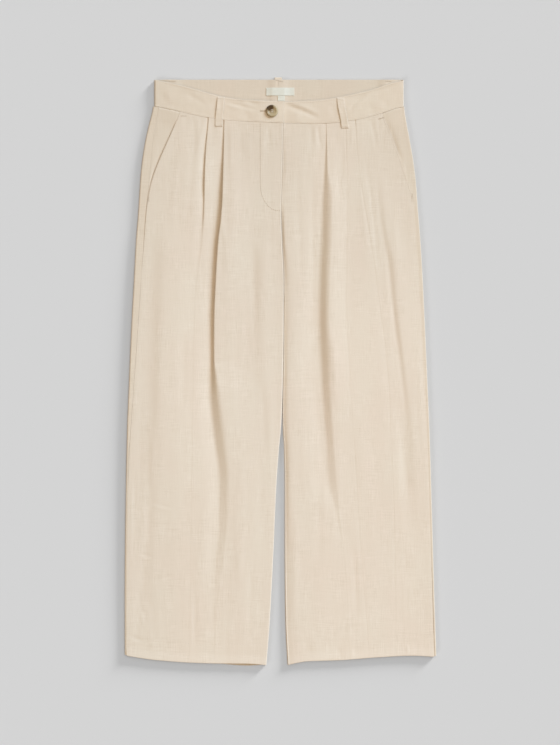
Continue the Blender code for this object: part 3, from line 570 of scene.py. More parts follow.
ridgePleat = Table(ridgeNames, [
    (350, -72, 0, 8, 14), (300, -72, 0.5, 8, 16), (260, -70, 0.8, 12, 20), (200, -74, 0.8, 13, 22),
    (80, -80, 0.6, 13, 22), (0, -78, 0.5, 12, 24), (-60, -66, 0.8, 18, 30), (-169, -56, 1.1, 22, 36),
    (-280, -58, 1.0, 22, 36), (-380, -64, 0.7, 22, 30), (-449, -66, 0.3, 20, 30)])
ridgeFold = Table(ridgeNames, [
    (345, 84, 0, 6, 10), (290, 85, 0.3, 8, 12), (240, 85, 0.8, 9, 16), (140, 83.5, 0.9, 9, 16),
    (60, 83.5, 0.8, 9, 16), (-20, 88, 0.5, 10, 18), (-120, 98, 0, 12, 18)])
hollowRight = Table(ridgeNames, [
    (388, -100, 0, 12, 8), (345, -101, -0.45, 16, 9), (300, -103, -0.7, 20, 9), (240, -106, -0.75, 28, 9),
    (100, -112, -0.8, 34, 9), (-30, -112, -0.75, 34, 9),
    (-150, -100, -0.5, 32, 12), (-260, -100, 0, 32, 12)])
hollowLeft = Table(ridgeNames, [
    (340, 52, 0, 18, 8), (260, 49, -0.8, 22, 9), (0, 49, -1.1, 22, 9), (-120, 62, -0.5, 22, 9),
    (-200, 70, 0, 22, 9)])
ridgeBehind = Table(ridgeNames, [
    (330, 104, 0, 22, 60), (270, 104, 0.9, 22, 60), (0, 104, 1.1, 22, 60), (-120, 110, 0.5, 22, 60),
    (-200, 112, 0, 22, 60)])
backLift = Table(("y", "share"), [(384, 0), (400, 1), (424, 1)])


def settle(distance, reach):
    # 1 at an anchor, dying away over about its reach
    u = np.abs(distance) / reach
    return (1 + u) * np.exp(-u)


def span(base, start, end, count):
    # stations between two anchors, closer near both, each an (x, height, share
    # of the fine relief)
    crowding, atAnchors = 0.6, 0.25
    points = []
    for i in range(1, count + 1):
        s = i / (count + 1)
        s = s - crowding * math.sin(2 * math.pi * s) / (2 * math.pi)
        x = start[0] + (end[0] - start[0]) * s
        z = base + (start[1] - base) * settle(x - start[0], start[2]) * (1 - s)
        z = z + (end[1] - base) * settle(end[0] - x, end[2]) * s
        share = min(1.0, atAnchors + 5 * s, atAnchors + 5 * (1 - s))
        points.append((x, z, share))
    return points


def fold(table, faces, steps):
    # the upper edge faces -X for faces -1 and +X for faces 1
    x, turn, run, lowBend, topBend, low = (table.read(name, heights) for name in foldNames[1:])
    turn = np.radians(turn)
    centre = topBend * np.sin(np.minimum(turn, math.pi / 2))
    runEnd = centre - topBend * np.sin(turn)
    start = runEnd - run * np.cos(turn) - lowBend * np.sin(turn)
    height = low + lowBend * (1 - np.cos(turn)) + run * np.sin(turn)
    points = [(np.minimum(start - 0.6, -1.2), low, 0.25)]
    for i in range(steps + 1):
        a = turn * i / steps
        points.append((start + lowBend * np.sin(a), low + lowBend * (1 - np.cos(a)), 0.0))
    for i in range(steps + 1):
        a = turn * (1 - i / steps)
        z = height + topBend * (np.cos(a) - np.cos(turn))
        points.append((centre - topBend * np.sin(a), z, 0.2 * i / steps))
    if faces < 0:
        return [(x + px, pz, free) for px, pz, free in points]
    return [(x - px, pz, free) for px, pz, free in points[::-1]]


def roll(x, level, steps, flatShare):
    # the wall turns down and under at the outer face x, on its +X side, after
    # running level over flatShare of its bend
    turn = np.radians(rollShape.read("turn", heights))
    tail = rollShape.read("tail", heights)
    bend = np.maximum((level - half) / 2, 0.6 / turn)
    bend = np.minimum(bend, (level - half - tail * np.sin(turn)) / (1 - np.cos(turn)))
    start = x - cloth["gap"] / 2 - (half + bend) * np.sin(np.minimum(turn, math.pi / 2))
    start = start - tail * np.maximum(np.cos(turn), 0)
    flat = flatShare * ease(np.degrees(turn), 10, 60)
    points = [(start, level + 0 * start, 0.0)]
    for i in range(steps + 1):
        a = turn * i / steps
        across = np.where(a < math.pi / 2, flat + (1 - flat) * np.sin(a), np.sin(a))
        points.append((start + bend * across, level - bend * (1 - np.cos(a)), 0.0))
    px, pz, _ = points[-1]
    for share in (0.5, 1.0):
        points.append((px + share * tail * np.cos(turn), pz - share * tail * np.sin(turn), 0.0))
    return points


def ridge(table, x):
    # height of a long ridge, or of a hollow where its height is negative
    offset = x - table.read("x", heights)
    width = np.where(offset < 0, table.read("left", heights), table.read("right", heights))
    return table.read("height", heights) * np.exp(-(offset / width) ** 2)


def troughReach(reach):
    # the hollow beside a fold, narrow where the waist seam presses it flat
    pressed = 1.4
    return pressed + (reach - pressed) * (1 - ease(heights, 335, 385))


def edgeStations(x, level, inwards):
    # close stations at the pocket mouth and the side seam
    return [(x + inwards * d, level, 0.0) for d in (0.0, 0.01, 0.12, 0.35, 0.7, 1.3, 2.2)]


def withRidges(points, ridges):
    return [(x, z + sum(ridge(table, x) for table in ridges), free) for x, z, free in points]


def frontRightSection():
    base = levelRight.read("base", heights)
    level = levelRight.read("edge", heights)
    edge = edgeStations(sideRight.read("edge", heights) + cloth["seamGap"][-1] / 2, level, 1)
    outer = fold(pleatOuterRight, -1, 6)
    inner = fold(pleatInnerRight, -1, 6)
    wrap = roll(innerEdge.read("right", heights), levelRight.read("inner", heights), 10, 0.75)
    points = edge + span(base, edge[-1][:2] + (8.0,), outer[0][:2] + (troughReach(4.0),), 34) + outer
    points += span(base, outer[-1][:2] + (8.0,), inner[0][:2] + (troughReach(9.0),), 11) + inner
    points += span(base, inner[-1][:2] + (24.0,), wrap[0][:2] + (6.0,), 43) + wrap
    return withRidges(points, (ridgeThigh, ridgeCentre, ridgePleat, hollowRight))


def frontLeftSection():
    base = levelLeft.read("base", heights)
    level = levelLeft.read("edge", heights)
    edge = edgeStations(sideLeft.read("edge", heights) - cloth["seamGap"][1] / 2, level, -1)[::-1]
    wrap = roll(-innerEdge.read("left", heights), levelLeft.read("inner", heights), 10, 0.0)
    wrap = [(-x, z, free) for x, z, free in wrap[::-1]]
    middle = fold(foldLeft, -1, 6)
    inner = fold(pleatInnerLeft, -1, 5)
    outer = fold(pleatOuterLeft, -1, 5)
    lean = leftLean.read("reach", heights)
    dip = 0.6 * ease(heights, -160, 0) * (1 - ease(heights, 230, 330))
    points = wrap + span(base - dip, wrap[-1][:2] + (lean,), middle[0][:2] + (troughReach(10.0),), 30)
    points += middle
    points += span(base, middle[-1][:2] + (14.0,), inner[0][:2] + (2.0,), 12) + inner
    points += span(base, inner[-1][:2] + (8.0,), outer[0][:2] + (2.0,), 10) + outer
    points += span(base, outer[-1][:2] + (8.0,), edge[0][:2] + (8.0,), 33) + edge
    return withRidges(points, (ridgeOuter, ridgeFold, ridgeBehind, hollowLeft))


# the loops that the back lies on, and how the back drapes over them
backLoops = {
    "at": (-168.6, -2.7, 168.9), "width": 11.4, "wall": 1.0, "end": 406.6, "clear": 0.3, "beside": 1.5,
    "drape": 9}


def lift(x):
    # rise of the back over the belt loops that it lies on
    rise = 0
    for middle in backLoops["at"]:
        beside = np.abs(x - middle) - backLoops["width"] / 2 - backLoops["beside"]
        rise = rise + (1 - ease(beside, 0, backLoops["drape"])) * (backLoops["wall"] + backLoops["clear"])
    return rise


# the back's wrapped outer edge: radius of the turn on top, and its brim over the seam
wrapped = {-1: {"tight": 1.6, "brim": 0.0}, 1: {"tight": 0.35, "brim": 0.18}}


def backSection(side):
    # from the centre along the floor, round the outer edge to the side seam
    table = sideRight if side < 0 else sideLeft
    levels = levelRight if side < 0 else levelLeft
    level = levels.read("seam", heights)
    tight, brim = wrapped[side]["tight"], wrapped[side]["brim"]
    bend = (level + brim - half) / 2
    leg = innerEdge.read("right" if side < 0 else "left", heights)
    wrap = cloth["gap"] / 2 + half + (levels.read("inner", heights) - half) / 2
    wrap = wrap + rollShape.read("tail", heights) + 0.6
    near = backSeamLine.read("x", heights) + side * cloth["gap"] / 2
    share = retreat.read("share", heights)
    near = near * (1 - share) + (leg + side * wrap) * share
    far = table.read("outline", heights) - side * (half + bend)
    points = [(near + side * d, half + 0 * heights, 0.0) for d in closeRim]
    for i in range(1, 30):
        x = near + (far - near) * i / 30
        points.append((x, half + lift(x) * backLift.read("share", heights), 0.0))
    for i in range(6):
        a = math.pi * i / 10
        rise = (level + brim - half - tight) * (1 - math.cos(a))
        points.append((far + side * bend * math.sin(a), half + rise, 0.15))
    top = far + side * (bend - tight)
    for i in range(1, 7):
        a = math.pi / 2 * i / 6
        points.append((top + side * tight * math.cos(a), level + brim - tight * (1 - math.sin(a)), 0.15))
    seam = table.read("seam", heights) + side * cloth["seamGap"][side] / 2
    for s in (0.2, 0.42, 0.62):
        points.append((top + (seam - top) * s, level + brim * (1 - s), 0.4 * (1 - s)))
    points += [(seam + side * d, level, 0.0) for d in (1.0, 0.7, 0.35, 0.12, 0.01, 0.0)]
    return points if side < 0 else points[::-1]


def legShares(rows, length=860):
    # shares of the way down a leg, closer at the waist seam and the hem
    ends = np.array([0, 0.12, 0.35, 0.8, 1.5, 2.6]) / length
    return np.concatenate([ends, np.linspace(ends[-1], 1 - ends[-1], rows)[1:-1], 1 - ends[::-1]])


def lengthwise(points, top, bottom, shares):
    # runs every station down the cloth, from its top to its bottom
    grid = np.zeros((len(points), len(shares), 3))
    free = np.zeros((len(points), len(shares)))
    for i, (x, z, relief) in enumerate(points):
        x = x + 0 * heights
        first = top(x, i)
        share = (first - heights) / (first - bottom(x))
        grid[i, :, 0] = np.interp(shares, share, x)
        grid[i, :, 1] = np.interp(shares, share, heights)
        grid[i, :, 2] = np.interp(shares, share, z + 0 * heights)
        free[i] = relief
    return grid, free


def creased(grid, free, creases, seed, fromHem):
    # crinkles that run down the cloth, and the listed creases
    x, y = grid[..., 0], grid[..., 1]
    relief = 0.0
    for n, (height, across, along) in enumerate(cloth["crinkles"]):
        relief = relief + height * ripple(x, y, across, along, seed + n)
    belowWaist = waistLine.read("seam", x) - y
    height, across, along, reach = cloth["gathers"]
    relief = relief + height * ripple(x, y, across, along, seed + 4) * np.exp(-belowWaist / reach)
    for path, width, height in creases:
        relief = relief + crease(path, width, height, x, y)
    height, across, along, reach = cloth["puckers"]
    relief = relief + height * ripple(x, y, across, along, seed + 5) * np.exp(-fromHem / reach)
    relief = relief * ease(belowWaist, 0.5, 9) * free
    seam = np.exp(-((fromHem - cloth["hemDepth"]) / cloth["hemSeam"]["width"]) ** 2)
    relief = relief - cloth["hemSeam"]["depth"] * seam * np.minimum(free * 2, 1)
    normals, _ = gridNormals(grid)
    flat = np.clip((normals[..., 2:] - 0.2) / 0.4, 0, 1)
    return grid + normals * relief[..., None] * flat


def legPanel(name, points, waist, hem, panel):
    grid, free = lengthwise(points, waist, hem, legShares(cloth["rows"]))
    hemY = grid[:, -1:, 1].copy()
    grid = creased(grid, free, panel["creases"], panel["seed"], grid[..., 1] - hemY)
    fromHem = grid[..., 1] - hemY
    if panel["front"]:
        # the front's upper layer rises to meet the waistband and over the hem
        belowWaist = waistLine.read("seam", grid[..., 0]) - grid[..., 1]
        meet = cloth["waistRaise"] + panel["flyRaise"] * ease(grid[..., 0], *cloth["flyLap"])
        meet = meet * np.exp(-belowWaist / cloth["waistRaiseReach"])
        over = cloth["hemRaise"] * (1 - ease(fromHem, 0, cloth["hemRaiseReach"]))
        for rise in (meet, over):
            grid[..., 2] += rise * ease(grid[..., 2], *cloth["upper"])
    hemmed = 1 - ease(fromHem, cloth["hemDepth"] - 2.2, cloth["hemDepth"] + 2.2)
    y = grid[..., 1]
    pressed = 1 - cloth["pressed"] * ease(y, *cloth["pressedFrom"]) * panel["front"]
    inner = half * pressed + (cloth["hemWall"] / 2 - half) * hemmed
    # where the side edge shows, its rim is round
    low, high = cloth["seamRim"]
    shows = panel["mouthShows"] * ease(y, *cloth["mouthRim"])
    shows = shows + panel["seamShows"] * ease(y, *low) * (1 - ease(y, *high))
    rounding = np.where(fromHem > cloth["rimChange"], cloth["waistRim"], cloth["rim"])
    outer = (half * pressed)[..., None]
    points, faces = shell(grid, outer, inner[..., None], rounding, 0.01 + 0.49 * np.clip(shows, 0, 1))
    piece = addMesh(name, points, faces, panel["finish"])
    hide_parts(panel["node"])


def frontWaist(x, i):
    return waistLine.read("seam", x) - cloth["waistGap"] / 2


def backWaist(side, count):
    # the floor part ends at the back seam, the wrapped part at the front's
    turnAt, turned = 33, 10

    def top(x, i):
        i = i if side < 0 else count - 1 - i
        share = min(max((i - turnAt) / turned, 0), 1)
        return backEdge["seam"] * (1 - share) + waistLine.read("seam", x) * share - cloth["waistGap"] / 2
    return top


# creases: the line that each follows, its width and its height
rightCreases = [
    ([(-42.3, 200), (-40.5, 120), (-39.1, 54)], 4.5, -0.55),
    ([(-26.7, -13), (-25, -80), (-23.5, -138)], 5.0, -0.45),
    ([(-106, -169), (-117, -247), (-125, -330), (-120, -356)], 8.0, 0.45),
    ([(-132.7, -350), (-132.7, -425)], 3.0, -0.4),
    ([(-201, -205), (-168, -212)], 1.7, -0.35), ([(-201, -209), (-168, -216)], 1.7, 0.3),
    ([(-221, -282), (-198.3, -290)], 1.7, -0.4), ([(-221, -286), (-198.3, -294)], 1.7, 0.35),
    ([(-187, -247), (-156, -250)], 2.0, -0.2), ([(-190, -317), (-153, -326)], 2.0, -0.25),
    ([(-236, -411), (-214, -419)], 2.4, -0.6),
    ([(-203, -140), (-205, -230), (-210, -300), (-218, -370), (-222, -420)], 9.0, -0.7),
    ([(-204, -90), (-205, -180), (-207, -250), (-213, -300), (-220, -360)], 2.0, -0.25),
    ([(-192, -90), (-194, -160), (-198, -222)], 2.2, -0.4), ([(-197, -100), (-199, -190)], 2.0, 0.3),
    ([(-206, -345), (-214, -395)], 1.6, -0.35), ([(-209, -350), (-219, -408)], 1.6, 0.35),
    ([(-212, -352), (-222, -410)], 1.6, -0.35), ([(-200, -320), (-206, -380)], 1.8, -0.3),
    ([(-226, -150), (-228, -250)], 2.2, -0.3), ([(-231, -170), (-233, -300)], 2.2, 0.3),
    ([(-76.6, 386), (-76.6, 350), (-77, 314)], 3.2, 0.45),
    ([(-62, 386), (-60, 330)], 3.0, -0.3), ([(-48, 380), (-47, 300)], 3.5, 0.3),
    ([(-133, 380), (-139, 300), (-143, 240)], 4.0, -0.35), ([(-122, 386), (-126, 340)], 2.6, 0.35),
    ([(-160, 330), (-168, 230)], 4.5, 0.4), ([(-95, 250), (-84, 200), (-84, 150)], 4.0, 0.5),
    ([(-60, 120), (-62, 0)], 6.0, 0.3), ([(-150, 60), (-152, -60)], 7.0, -0.35),
    ([(-200, -330), (-196, -430)], 4.0, -0.35), ([(-208, -150), (-213, -300)], 4.5, 0.4),
    ([(-60, -240), (-66, -330)], 5.0, 0.35), ([(-45, -300), (-49, -420)], 4.5, -0.35),
    ([(-17.3, 386), (-17.3, 346)], 1.8, -0.35), ([(-24, 380), (-25, 330)], 2.4, 0.25)]
leftCreases = [
    ([(70.0, 185), (69.6, 120), (69.2, 60), (70.2, 20)], 1.4, -0.4),
    ([(141.8, 392.6), (147, 370), (150.7, 345)], 2.6, -0.4),
    ([(133, 330), (138, 299), (145.8, 237), (151.3, 160)], 3.0, -0.4),
    ([(126, 300), (131.8, 237), (138, 160)], 5.0, 0.3),
    ([(147.5, 325), (151.5, 299), (157.5, 237), (168, 180), (175.3, 112), (180.3, 62), (185, 34),
      (194.5, -49), (206, -130)], 3.4, -0.52),
    ([(187, -40), (192, -110), (197, -200)], 8.0, -0.6),
    ([(193, -78), (197, -153), (204, -231), (210, -294)], 8.0, -0.3),
    ([(93.3, 366), (93.5, 262)], 1.5, -0.3), ([(98, 360), (98, 296)], 1.5, -0.4),
    ([(84.5, 386), (84, 352)], 1.8, -0.3), ([(111, 384), (112, 350)], 2.2, 0.25),
    ([(49.8, 386), (49.8, 352)], 1.9, -0.4), ([(59.1, 386), (61, 365), (65.4, 346)], 1.9, -0.5),
    ([(54.5, 386), (56, 352)], 2.0, 0.35),
    ([(26, 330), (30, 200), (33, 150)], 4.0, -0.3), ([(40, 300), (42, 120)], 8.0, 0.35),
    ([(90, 330), (92, 260)], 3.0, -0.3), ([(84, 60), (88, -60)], 7.0, 0.5),
    ([(90.3, -208), (93, -231), (97, -262)], 4.0, -0.45),
    ([(113.7, -270), (118.4, -340), (120, -395)], 3.2, -0.45),
    ([(126, -60), (128, -200)], 8.0, 0.35), ([(150, -120), (158, -280)], 6.0, -0.3),
    ([(176, 250), (186, 120)], 5.0, 0.35), ([(60, -150), (62, -300)], 6.0, -0.3),
    ([(25, -220), (22, -400)], 6.0, 0.4), ([(43.5, -421), (40.4, -440)], 2.2, -0.45),
    ([(88.8, -427), (95, -446)], 2.2, -0.5), ([(115.3, -429), (117, -444)], 2.2, -0.35),
    ([(179.3, -429), (184, -443)], 2.2, -0.5), ([(196, -424), (200, -440)], 2.2, 0.4),
    ([(215, 60), (223, -120)], 4.0, 0.3)]

# each panel's flat size and area are in metres
panels = {
    "frontRightLeg": {
        "node": "front_right", "front": True, "flat": (0.262, 0.868), "area": 0.203,
        "restsOn": ["backRightLeg"], "creases": rightCreases, "seed": 11, "seamShows": 0.6,
        "mouthShows": 1.0, "flyRaise": 0.7, "finish": clothMaterial},
    "frontLeftLeg": {
        "node": "front_left", "front": True, "flat": (0.252, 0.868), "area": 0.193,
        "restsOn": ["backLeftLeg"], "creases": leftCreases, "seed": 31, "seamShows": 0.0,
        "mouthShows": 0.0, "flyRaise": 0.0, "finish": clothMaterial},
    "backRightLeg": {
        "node": "back_right", "front": False, "flat": (0.262, 0.872), "area": 0.204, "restsOn": [],
        "creases": [], "seed": 49, "seamShows": 0.6, "mouthShows": 0.0, "finish": backMaterial},
    "backLeftLeg": {
        "node": "back_left", "front": False, "flat": (0.250, 0.868), "area": 0.193, "restsOn": [],
        "creases": [], "seed": 51, "seamShows": 0.0, "mouthShows": 0.0, "finish": backMaterial}}
for which, hemTable, section in (
        ("Right", hemRight, frontRightSection()), ("Left", hemLeft, frontLeftSection())):
    name = f"front{which}Leg"
    legPanel(name, section, frontWaist, lambda x: hemTable.read("front", x), panels[name])
for side, which, hemTable in ((-1, "Right", hemRight), (1, "Left", hemLeft)):
    name = f"back{which}Leg"
    section = backSection(side)
    legPanel(name, section, backWaist(side, len(section)), lambda x: hemTable.read("back", x), panels[name])
print("leg panels made")


band = {
    "wall": 1.6, "front": 5.0, "over": 5.9, "under": 4.0, "end": 5.4, "underEnd": -30.5,
    "side": {-1: -196.0, 1: 192.6}, "tight": 0.5, "laps": {-1: cloth["flyLap"], 1: (-36, -10)},
    # the underlap's end is cut lower, and the inside, in painted shade, shows below the first height
    "underDrop": 0.6, "dropBefore": 12, "insideBelow": 2.9,
    # heights of the front and the back half, and how far crinkles keep off the rims
    "frontHeights": (3.2, 3.9), "backHeights": (0.7, 0.9), "topRims": (0.3, 4.0), "endRims": (1.0, 8.0),
    # crinkles: their height, and their size across and along
    "crinkles": ((0.22, 13, 16, 71), (0.10, 5, 7, 74)),
    # stitched lines: distance from the edge, width and depth
    "seamLine": (2.2, 0.9, 0.16), "topLine": (2.6, 1.0, 0.10)}
bandCreases = [
    ([(9, 416), (31, 409), (62, 394.5)], 2.6, -0.95), ([(12, 420), (34, 413.5), (60, 401)], 2.8, 0.55),
    ([(20, 409), (40, 401)], 2.0, -0.5),
    ([(134, 432.4), (120, 422.2), (105.9, 407.4)], 2.4, -0.8),
    ([(139, 430), (124, 418), (112, 404)], 2.8, 0.5),
    ([(-84.4, 420), (-62.5, 414.8), (-36, 407.4)], 2.0, -0.55), ([(-84, 416), (-60, 409.5)], 2.2, 0.4),
    ([(-75, 425), (-52, 421), (-28, 414.4)], 2.0, -0.4), ([(184, 449), (160, 440), (143.4, 434)], 2.6, -0.5),
    ([(-150, 436), (-128, 424), (-112, 412)], 3.5, -0.3), ([(-180, 440), (-170, 418)], 4.0, 0.3),
    ([(80, 416), (84, 396)], 3.0, -0.3), ([(-2, 419), (8, 396)], 2.6, 0.3),
    ([(150, 428), (170, 414)], 3.5, -0.3)]


def bandPath(side):
    # x, height and share of the front for each station, from back to front
    low = band["wall"] / 2
    bend = (band["front"] - low) / 2
    turn = band["side"][side] - side * (low + bend)
    near = backEdge["centre"] + side * cloth["waistGap"] / 2
    path = [(near + side * d, 0.0) for d in closeRim]
    path += [(near + (turn - near) * i / 46, 0.0) for i in range(1, 46)]
    path = [(x, low + float(lift(np.array(x))), s) for x, s in path]
    # the left half turns more sharply on top
    tight = bend if side < 0 else band["tight"]
    for i in range(6):
        a = math.pi * i / 10
        path.append((turn + side * bend * math.sin(a), low + (2 * bend - tight) * (1 - math.cos(a)), i / 10))
    for i in range(1, 6):
        a = math.pi * i / 10
        path.append((turn + side * (bend - tight + tight * math.cos(a)),
                     band["front"] - tight * (1 - math.sin(a)), 0.5 + i / 10))
    end = band["end"] if side < 0 else band["underEnd"]
    for i in range(1, 61):
        path.append((turn + (end - turn) * i / 60 * (1 - 1.0 / abs(end - turn)), None, 1.0))
    path += [(end + side * d, None, 1.0) for d in closeRim[::-1]]
    lap = (band["over"] if side < 0 else band["under"]) - band["front"]
    return [(x, band["front"] + lap * float(ease(-side * x, *band["laps"][side])) if z is None else z, s)
            for x, z, s in path]


def waistband(name, side, node):
    path = bandPath(side)
    if side > 0:
        path = path[::-1]
    ends = np.array([0, 0.12, 0.35, 0.7, 1.1, 1.7])
    grid = np.zeros((len(path), 2 * len(ends) + 12, 3))
    for i, (x, z, share) in enumerate(path):
        drop = band["underDrop"] if side > 0 and x < band["dropBefore"] and share == 1 else 0.0
        top = backEdge["top"] * (1 - share) + (float(waistLine.read("top", x)) - drop) * share
        seam = backEdge["seam"] * (1 - share) + float(waistLine.read("seam", x)) * share
        seam = seam + cloth["waistGap"] / 2
        deep = top - seam
        down = np.concatenate([ends, np.linspace(ends[-1], deep - ends[-1], 14)[1:-1], deep - ends[::-1]])
        grid[i, :, 0] = x
        grid[i, :, 1] = top - down
        grid[i, :, 2] = z
    x, y = grid[..., 0], grid[..., 1]
    front = ease(grid[..., 2], *band["frontHeights"])
    relief = 0.0 * x
    for line, width, height in bandCreases:
        relief = relief + crease(line, width, height, x, y)
    for height, across, along, seed in band["crinkles"]:
        relief = relief + height * ripple(x, y, across, along, seed + side)
    rimShare = ease(fromEdges(grid, 1), *band["topRims"]) * ease(fromEdges(grid, 0), *band["endRims"])
    back = ease(grid[..., 2], *band["backHeights"]) * 0.3
    grid[..., 2] += relief * (0.25 + 0.75 * front) * rimShare * (front + back)
    for fromEdge, (place, width, depth) in (
            (y - grid[:, -1:, 1], band["seamLine"]), (grid[:, :1, 1] - y, band["topLine"])):
        grid[..., 2] -= depth * np.exp(-((fromEdge - place) / width) ** 2) * front
    points, faces = shell(grid, band["wall"] / 2, band["wall"] / 2, 0.4, 0.1)
    piece = addMesh(name, points, faces, bandMaterial)
    # the lower faces, the band's inside, take the darker linen of painted shade
    piece.data.materials.append(shadedInsideMaterial)
    inside = band["insideBelow"] * millimetre
    for polygon in piece.data.polygons:
        polygon.material_index = int(polygon.center.z < inside)
    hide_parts(node)


waistband("waistbandRight", -1, "waistband_right")
waistband("waistbandLeft", 1, "waistband_left")


# height at the mouth, and the share of the way there at which the layer bends down
pockets = {
    "end": 268.0, "rows": 70, "narrowest": 3.6, "raise": 0.4, "raiseReach": 12,
    "share": 0.56,   # of its flat rectangle, as the mouth slants
    -1: {"atMouth": 3.4 + 1.3 * ease(heights, 375, 400), "bends": 0.1},
    1: {"atMouth": 3.5 + 1.1 * (1 - ease(heights, 322, 350)) + 0.8 * ease(heights, 375, 405), "bends": 0.6},
    # behind the front: distance past the mouth, and height
    "behind": ((4, 3.1), (8, 2.8), (12, 2.65), (25, 2.6)),
    # crinkles: their height, and their size across and along
    "crinkles": ((0.22, 4.5, 60, 90), (0.1, 12, 9, 94))}


def pocket(name, side, node, flat):
    table = sideRight if side < 0 else sideLeft
    levels = levelRight if side < 0 else levelLeft
    atSeam = levels.read("seam", heights)
    atMouth, bends = pockets[side]["atMouth"], pockets[side]["bends"]
    seam = table.read("seam", heights) - side * cloth["seamGap"][side] / 2
    mouth = np.maximum(np.abs(table.read("edge", heights) - seam), pockets["narrowest"])
    points = [(seam - side * d, atSeam, 0.0) for d in (0, 0.01, 0.15, 0.5)]
    for s in (0.2, 0.35, 0.5, 0.7, 0.8, 0.88, 0.94, 1):
        points.append((seam - side * mouth * s, atSeam + (atMouth - atSeam) * ease(s, bends, 1), 0.6))
    for d, z in pockets["behind"]:
        points.append((seam - side * (mouth + d), z + 0 * heights, 0.0))
    if side > 0:
        points = points[::-1]
    shares = np.linspace(0, 1, pockets["rows"])
    grid, free = lengthwise(points, frontWaist, lambda x: pockets["end"], shares)
    grid[..., 2] += pockets["raise"] * np.exp((grid[..., 1] - grid[:, :1, 1]) / pockets["raiseReach"])
    for height, across, along, seed in pockets["crinkles"]:
        grid[..., 2] += height * ripple(grid[..., 0], grid[..., 1], across, along, seed + side) * free
    points, faces = shell(grid, half, half, 0.2, 0.01)
    piece = addMesh(name, points, faces, shadedPocketMaterial)
    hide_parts(node)
    area = pockets["share"] * flat[0] * flat[1]


pocket("pocketRight", -1, "pocket_right", (0.0745, 0.1445))
pocket("pocketLeft", 1, "pocket_left", (0.0715, 0.1435))
print("waistband and pockets made")


def surfaceOf(names):
    # the named pieces' faces as one surface in millimetres
    points, faces = [], []
    for name in names:
        mesh = bpy.data.objects[name].data
        start = len(points)
        points += [tuple(v.co / millimetre) for v in mesh.vertices]
        faces += [tuple(i + start for i in p.vertices) for p in mesh.polygons]
    return BVHTree.FromPolygons(points, faces)


clothPieces = ["frontRightLeg", "frontLeftLeg", "backRightLeg", "backLeftLeg", "waistbandRight",
               "waistbandLeft", "pocketRight", "pocketLeft"]
clothSurface = surfaceOf(clothPieces)


def heightAt(x, y):
    # top of the cloth under a point, from well above it
    hit = clothSurface.ray_cast((x + shift[0], y + shift[1], 60.0), (0, 0, -1))
    return hit[0].z if hit[0] is not None else 0.0


frontLoops = {
    "right": {"top": (-92.1, 428.5), "bottom": (-95.7, 381.7)},
    "left": {"top": (94.0, 426.7), "bottom": (101.6, 379.2)},
    "wall": 0.6, "width": 11.4, "length": 48, "bow": 0.85, "steps": 60, "endReach": 0.6,
    "clear": 0.06, "lean": 0.35, "sewn": 4.0, "deepest": 1.3,
    # the stitched edges' bead: height, distance from the edge and width; and soft waves
    "bead": (0.12, 1.6, 1.1), "waves": (0.12, 4, 8, 120)}


def beltLoop(name, node, ends, seed):
    top, bottom = np.array(ends["top"]), np.array(ends["bottom"])
    steps = frontLoops["steps"]
    width = frontLoops["width"]
    across = np.array([0, 0.1, 0.25, 0.5, 1.0, 1.8, 2.8, 4.0, 5.0]) - width / 2
    across = np.concatenate([across, [0], -across[::-1]])
    grid = np.zeros((len(across), steps + 1, 3))
    found = []
    for k in range(steps + 1):
        x, y = top + (bottom - top) * k / steps
        found.append(max(heightAt(x + dx, y + dy) for dx in (-5, -2.5, 0, 2.5, 5) for dy in (-1, 0, 1)))
    found = np.convolve(np.pad(found, 2, mode="edge"), np.ones(5) / 5, "valid")
    for k in range(steps + 1):
        s = k / steps
        x, y = top + (bottom - top) * s
        bow = frontLoops["bow"] * math.sin(math.pi * min(1.0, s * 1.1)) ** 2
        z = found[k] + frontLoops["clear"] + frontLoops["wall"] / 2 + bow
        lean = frontLoops["lean"] * math.sin(7.0 * s + seed)
        fromEnd = min(k, steps - k) / steps * math.dist(top, bottom)
        if fromEnd < frontLoops["sewn"]:
            # the sewn ends follow the cloth
            share = 1 - float(ease(fromEnd, 0.8, frontLoops["sewn"]))
            local = np.array([heightAt(x + dx, y) for dx in across])
            z = z + np.maximum(local - found[k], -frontLoops["deepest"]) * share
        grid[:, k] = np.stack([x + across + lean, y + 0 * across, z + 0 * across], axis=1)
        height, inwards, wide = frontLoops["bead"]
        grid[:, k, 2] += height * np.exp(-((np.abs(across) - width / 2 + inwards) / wide) ** 2)
    height, acrossSize, alongSize, waveSeed = frontLoops["waves"]
    grid[..., 2] += height * ripple(grid[..., 0], grid[..., 1], acrossSize, alongSize, waveSeed + seed)
    grid[..., 2] -= frontLoops["wall"] / 2 * (1 - roundRim(fromEdges(grid, 1), frontLoops["endReach"]))
    points, faces = shell(grid, frontLoops["wall"] / 2, frontLoops["wall"] / 2, frontLoops["endReach"], 0.4)
    piece = addMesh(name, points, faces, bandMaterial)
    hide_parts(node)
    flat = (width * millimetre, frontLoops["length"] * millimetre)


beltLoop("frontLoopRight", "belt_loop_front_right", frontLoops["right"], 0)
beltLoop("frontLoopLeft", "belt_loop_front_left", frontLoops["left"], 3)


def backLoop(name, node, middle, top):
    across = np.array([0, 0.15, 0.4, 0.9, 2.0, 3.6]) - backLoops["width"] / 2
    across = np.concatenate([across, [0], -across[::-1]])
    down = np.array([0, 0.15, 0.4, 0.9])
    end = backLoops["end"]
    rows = np.concatenate([top - down, np.linspace(top - 3, end + 3, 20), end + down[::-1]])
    grid = np.zeros((len(across), len(rows), 3))
    grid[..., 0] = middle + across[:, None]
    grid[..., 1] = rows[None]
    grid[..., 2] = backLoops["wall"] / 2
    points, faces = shell(grid, backLoops["wall"] / 2, backLoops["wall"] / 2, 0.5)
    piece = addMesh(name, points, faces, bandMaterial)
    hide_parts(node)


